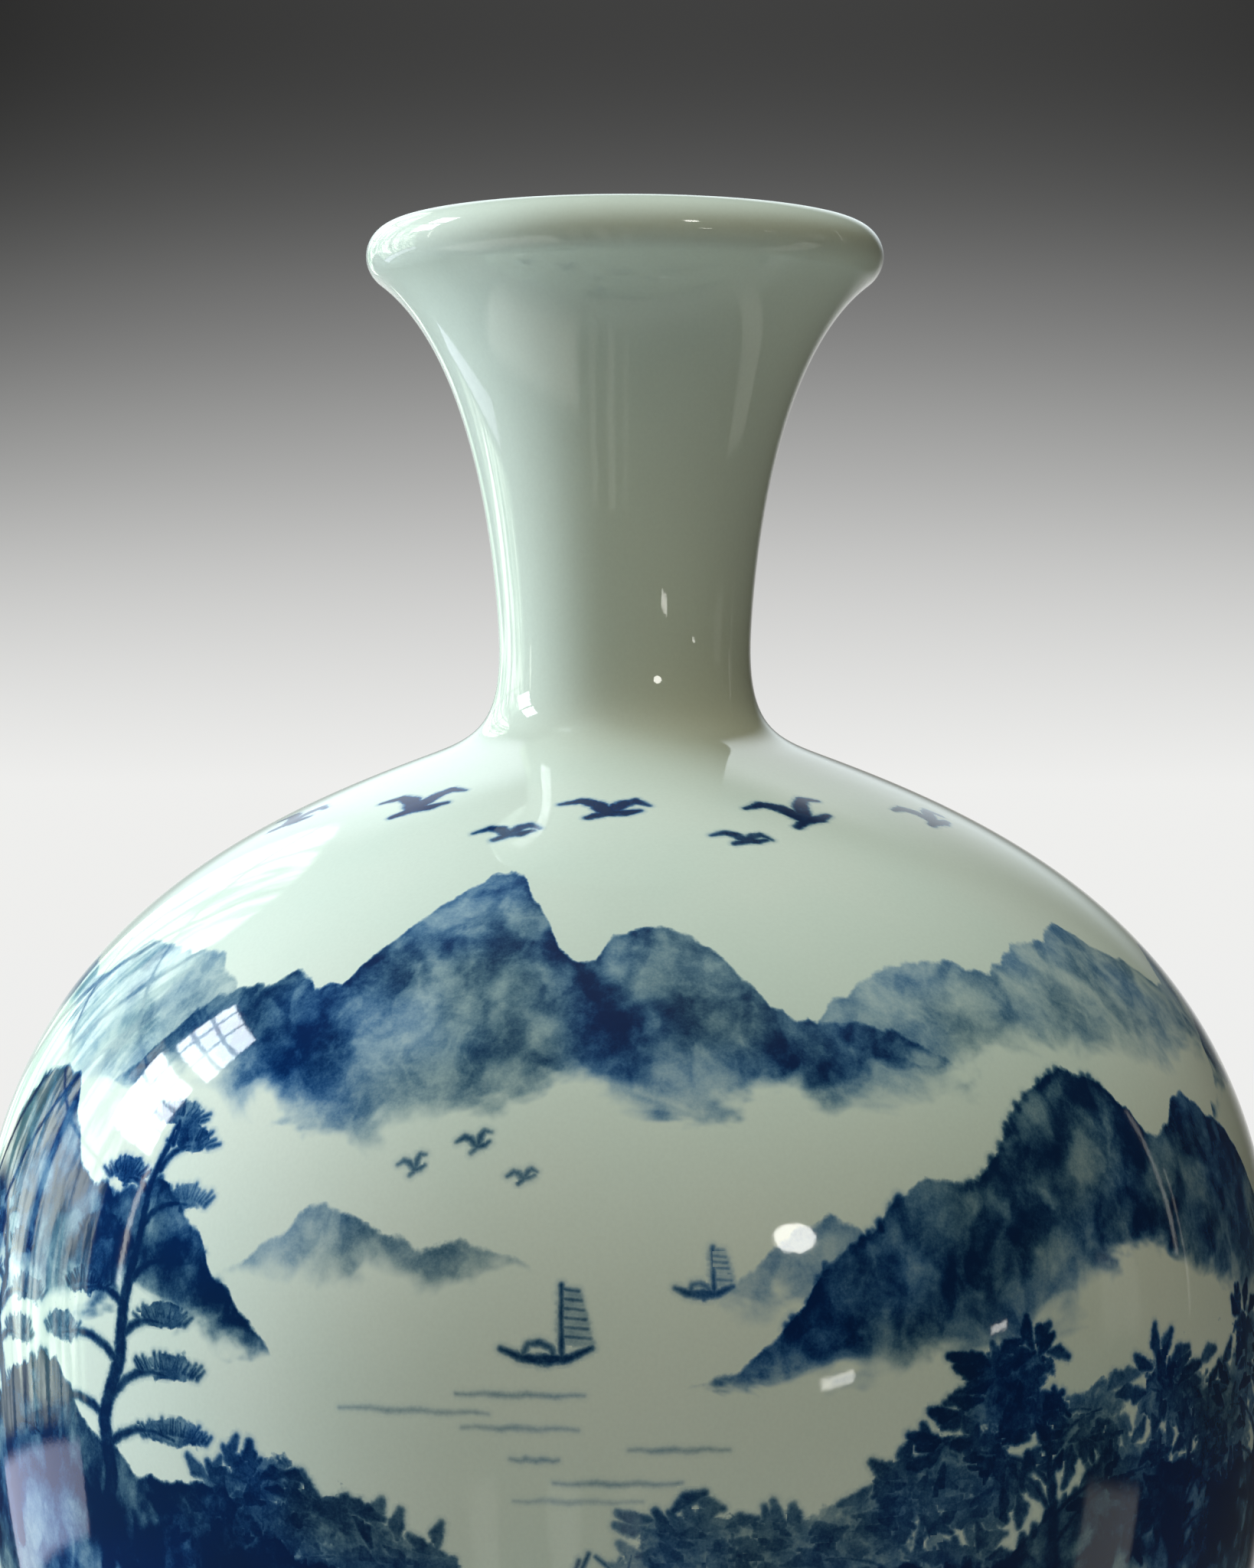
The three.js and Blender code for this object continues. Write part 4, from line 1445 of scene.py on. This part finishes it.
class Room(Shader):
    """What the glaze mirrors, and the backdrop: patches of light by azimuth and elevation."""

    def __init__(self, tree):
        super().__init__(tree)
        self.coordinates = self.node("ShaderNodeTexCoord").outputs
        x, y, up = self.split(self.coordinates["Generated"])
        turned = self.math("ARCTAN2", x, self.times(y, -1))
        self.azimuth = self.times(turned, DEGREES)
        self.elevation = self.times(self.math("ARCSINE", up), DEGREES)

    def span(self, value, low, high, soft):
        rise = self.ramp(value, low - soft, low + soft)
        fall = self.ramp(value, high - soft, high + soft, 1, 0)
        return self.times(rise, fall)

    def panel(self, left, right, bottom, top, soft):
        return self.times(self.span(self.azimuth, left, right, soft),
                          self.span(self.elevation, bottom, top, soft))

    def bars(self, value, places, half, soft):
        """What is left of the light between bars at places of a value."""
        left = 1.0
        for place in places:
            away = self.math("ABSOLUTE", self.minus(value, place))
            left = self.times(left, self.ramp(away, half - soft, half + soft))
        return left

    def level(self, amount, colour):
        return self.tinted(self.grey(amount), (*colour, 1))

    def window(self):
        """The side window: two sashes one above the other, overexposed, with thin glazing bars."""
        sashes = self.plus(*(self.panel(*sash) for sash in WINDOW_SASHES))
        bars = self.times(self.bars(self.azimuth, WINDOW_UPRIGHTS, 0.42, 0.15),
                          self.bars(self.elevation, WINDOW_RAILS, 0.36, 0.15))
        light = self.times(sashes, self.ramp_linear(bars, WINDOW_GLARE, 1), WINDOW_RADIANCE)
        return self.level(light, WINDOW_TINT)

    def garden(self):
        """Foliage in sunlight behind two tall windows, crossed by their frames."""
        aside = self.math("POWER", self.math("ABSOLUTE", self.plus(self.azimuth, 145)), 2)
        arched = self.times_plus(aside, 0.035, self.elevation)
        tall = self.times(self.span(self.azimuth, -162, -127.5, 0.5), self.span(arched, 1, 39, 1))
        near = self.panel(-124.5, -105, -10, 30, 0.5)
        low = self.times(self.panel(-140, -108, -11, -1, 0.4), 0.4)
        bow = self.math("POWER", self.minus(34, self.elevation), 2)
        slant = self.times_plus(bow, 0.0142, self.plus(self.azimuth, 126))
        frames = self.times(self.bars(slant, (0, -9, -20), 0.55, 0.25),
                            self.bars(self.elevation, (13, 26.5), 0.3, 0.2))
        sprays = self.node("ShaderNodeCombineXYZ", {
            "X": self.times(self.azimuth, 0.3), "Y": self.times(self.elevation, 0.055)})
        leaves = self.noise(sprays.outputs[0], 1.0, 5, 0.62, 0.9)
        scene = self.mix_colour(self.ramp(leaves, 0.4, 0.62), GARDEN_SHADE, GARDEN_SUN)
        return self.tinted(scene, self.grey(self.times(self.plus(tall, near, low), frames)))

    def walls(self):
        """The dim room: its ceiling, posts, a doorway and the bright edges of things."""
        light = self.times_plus(self.ramp(self.elevation, 35, 80), CEILING_GLOW, WALL_LEVEL)
        light = self.times_plus(self.ramp(self.elevation, -4, -30), GROUND_GLOW, light)
        for panel, amount in WALL_PANELS:
            light = self.times_plus(self.panel(*panel), amount, light)
        return self.level(light, WALL_TINT)

    def skylight(self):
        """The cool light high behind the vase that rims its lip."""
        behind = self.ramp(self.math("ABSOLUTE", self.azimuth), *SKY_BEHIND)
        high = self.span(self.elevation, 10, 40, 5)
        return self.level(self.times(behind, high, SKY_RADIANCE), SKY_TINT)

    def sill(self):
        return self.level(self.times(self.panel(*SILL), SILL_RADIANCE), SILL_TINT)

    def lamps(self):
        """A round lamp across the room, and two small slanted ones low down."""
        x, y = (self.math("DIVIDE", self.minus(value, middle), half) for value, middle, half in
                zip((self.azimuth, self.elevation), LAMP_CENTRE, LAMP_HALF))
        out = self.math("SQRT", self.plus(self.times(x, x), self.times(y, y)))
        light = self.times(self.ramp(out, 0.92, 1.08, 1, 0), LAMP_RADIANCE)
        slanted = self.times_plus(self.azimuth, -0.2, self.elevation)
        longer = self.times(self.span(self.azimuth, 32.5, 38, 0.3),
                            self.span(slanted, -13.6, -11.9, 0.25))
        shorter = self.times(self.span(self.azimuth, 63.5, 67, 0.2),
                             self.span(slanted, -14.1, -13.1, 0.2))
        light = self.times_plus(self.plus(longer, shorter), DASH_RADIANCE, light)
        return self.level(light, LAMP_TINT)

    def backdrop(self):
        """The grey behind the vase, palest at the horizon."""
        height = self.ramp_linear(self.elevation, 0, BACKDROP_TOP)
        levels = self.node("ShaderNodeFloatCurve", {"Value": height})
        curve = levels.mapping.curves[0]
        for point, place in zip(curve.points, BACKDROP_LEVELS[:2]):
            point.location = place
        for place in BACKDROP_LEVELS[2:]:
            curve.points.new(*place)
        levels.mapping.update()
        return self.level(levels.outputs[0], BACKDROP_TINT)

    def vignette(self):
        """The darkening towards the sides of the picture, above the horizon."""
        across = self.minus(self.split(self.coordinates["Window"])[0], VIGNETTE_MIDDLE)
        above = self.times(self.ramp(self.elevation, 0.3, 11), VIGNETTE_FALL)
        return self.grey(self.times_plus(self.times(across, across), above, 1))


def make_world():
    world = bpy.data.worlds.new("studio")
    bpy.context.scene.world = world
    world.use_nodes = True
    world.node_tree.nodes.clear()
    room = Room(world.node_tree)
    backdrop = room.backdrop()
    pictured = room.tinted(backdrop, room.vignette())
    behind = room.ramp(room.math("ABSOLUTE", room.azimuth), *BEHIND)
    mirrored = room.mix_colour(behind, room.walls(), backdrop)
    for patch in (room.garden(), room.skylight(), room.lamps(), room.sill(), room.window()):
        mirrored = room.mix_colour(1.0, mirrored, patch, "ADD")
    rays = room.node("ShaderNodeLightPath").outputs
    shown = room.mix_colour(rays["Is Camera Ray"], mirrored, pictured)
    plain = room.plus(rays["Is Glossy Ray"], rays["Is Transmission Ray"])
    plain = room.math("ADD", plain, rays["Is Camera Ray"], clamp=True)
    seen = room.node("ShaderNodeBackground", {"Color": shown, "Strength": 1.0})
    light = room.node("ShaderNodeBackground", {"Color": DIM_ROOM, "Strength": DIM_ROOM_STRENGTH})
    surface = room.mix_surfaces(plain, light.outputs[0], seen.outputs[0])
    show(room, surface, "ShaderNodeOutputWorld")


def make_floor():
    turned = np.linspace(0, math.tau, FLOOR_SEGMENTS, endpoint=False)
    vertices = [(FLOOR_RADIUS * math.cos(a), FLOOR_RADIUS * math.sin(a), 0) for a in turned]
    mesh = bpy.data.meshes.new("floor")
    mesh.from_pydata(vertices, [], [list(range(FLOOR_SEGMENTS))])
    floor = bpy.data.objects.new("floor", mesh)
    bpy.context.scene.collection.objects.link(floor)
    mesh.materials.append(pale_floor())


def pale_floor():
    """A matt floor that runs out into the backdrop's glow, and that the glaze mirrors only near."""
    material, shader, where = new_material("pale_floor")
    distance = shader.node("ShaderNodeVectorMath", {0: where}, operation="LENGTH").outputs["Value"]
    rays = shader.node("ShaderNodeLightPath").outputs
    grain = shader.ramp(shader.noise(where, FLOOR_GRAIN, 3, 0.5), 0.3, 0.7)
    near = shader.mix_colour(grain, FLOOR_SHADE, FLOOR_PALE)
    unseen = shader.minus(1, rays["Is Camera Ray"])
    # Painted shade: further out, the floor is darker to every ray but the camera's, so it sends little
    # light back
    dim = shader.times(shader.ramp(distance, *FLOOR_DARKENS, 0.3, 1), unseen)
    matt = shader.node("ShaderNodeBsdfPrincipled", {
        "Base Color": shader.mix_colour(dim, near, FLOOR_DIM), "Roughness": FLOOR_ROUGHNESS})
    glow = shader.node("ShaderNodeEmission", {"Color": FLOOR_GLOW, "Strength": 1.0})
    clear = shader.node("ShaderNodeBsdfTransparent")
    far = shader.times(shader.ramp(distance, *FLOOR_GLOWS), rays["Is Camera Ray"])
    gone = shader.times(shader.ramp(distance, *FLOOR_LEAVES), rays["Is Glossy Ray"])
    lit = shader.mix_surfaces(far, matt.outputs[0], glow.outputs[0])
    show(shader, shader.mix_surfaces(gone, lit, clear.outputs[0]))
    return material


make_camera()
make_vase()
make_floor()
make_lights()
make_world()
bpy.context.scene.view_settings.view_transform = "Standard"
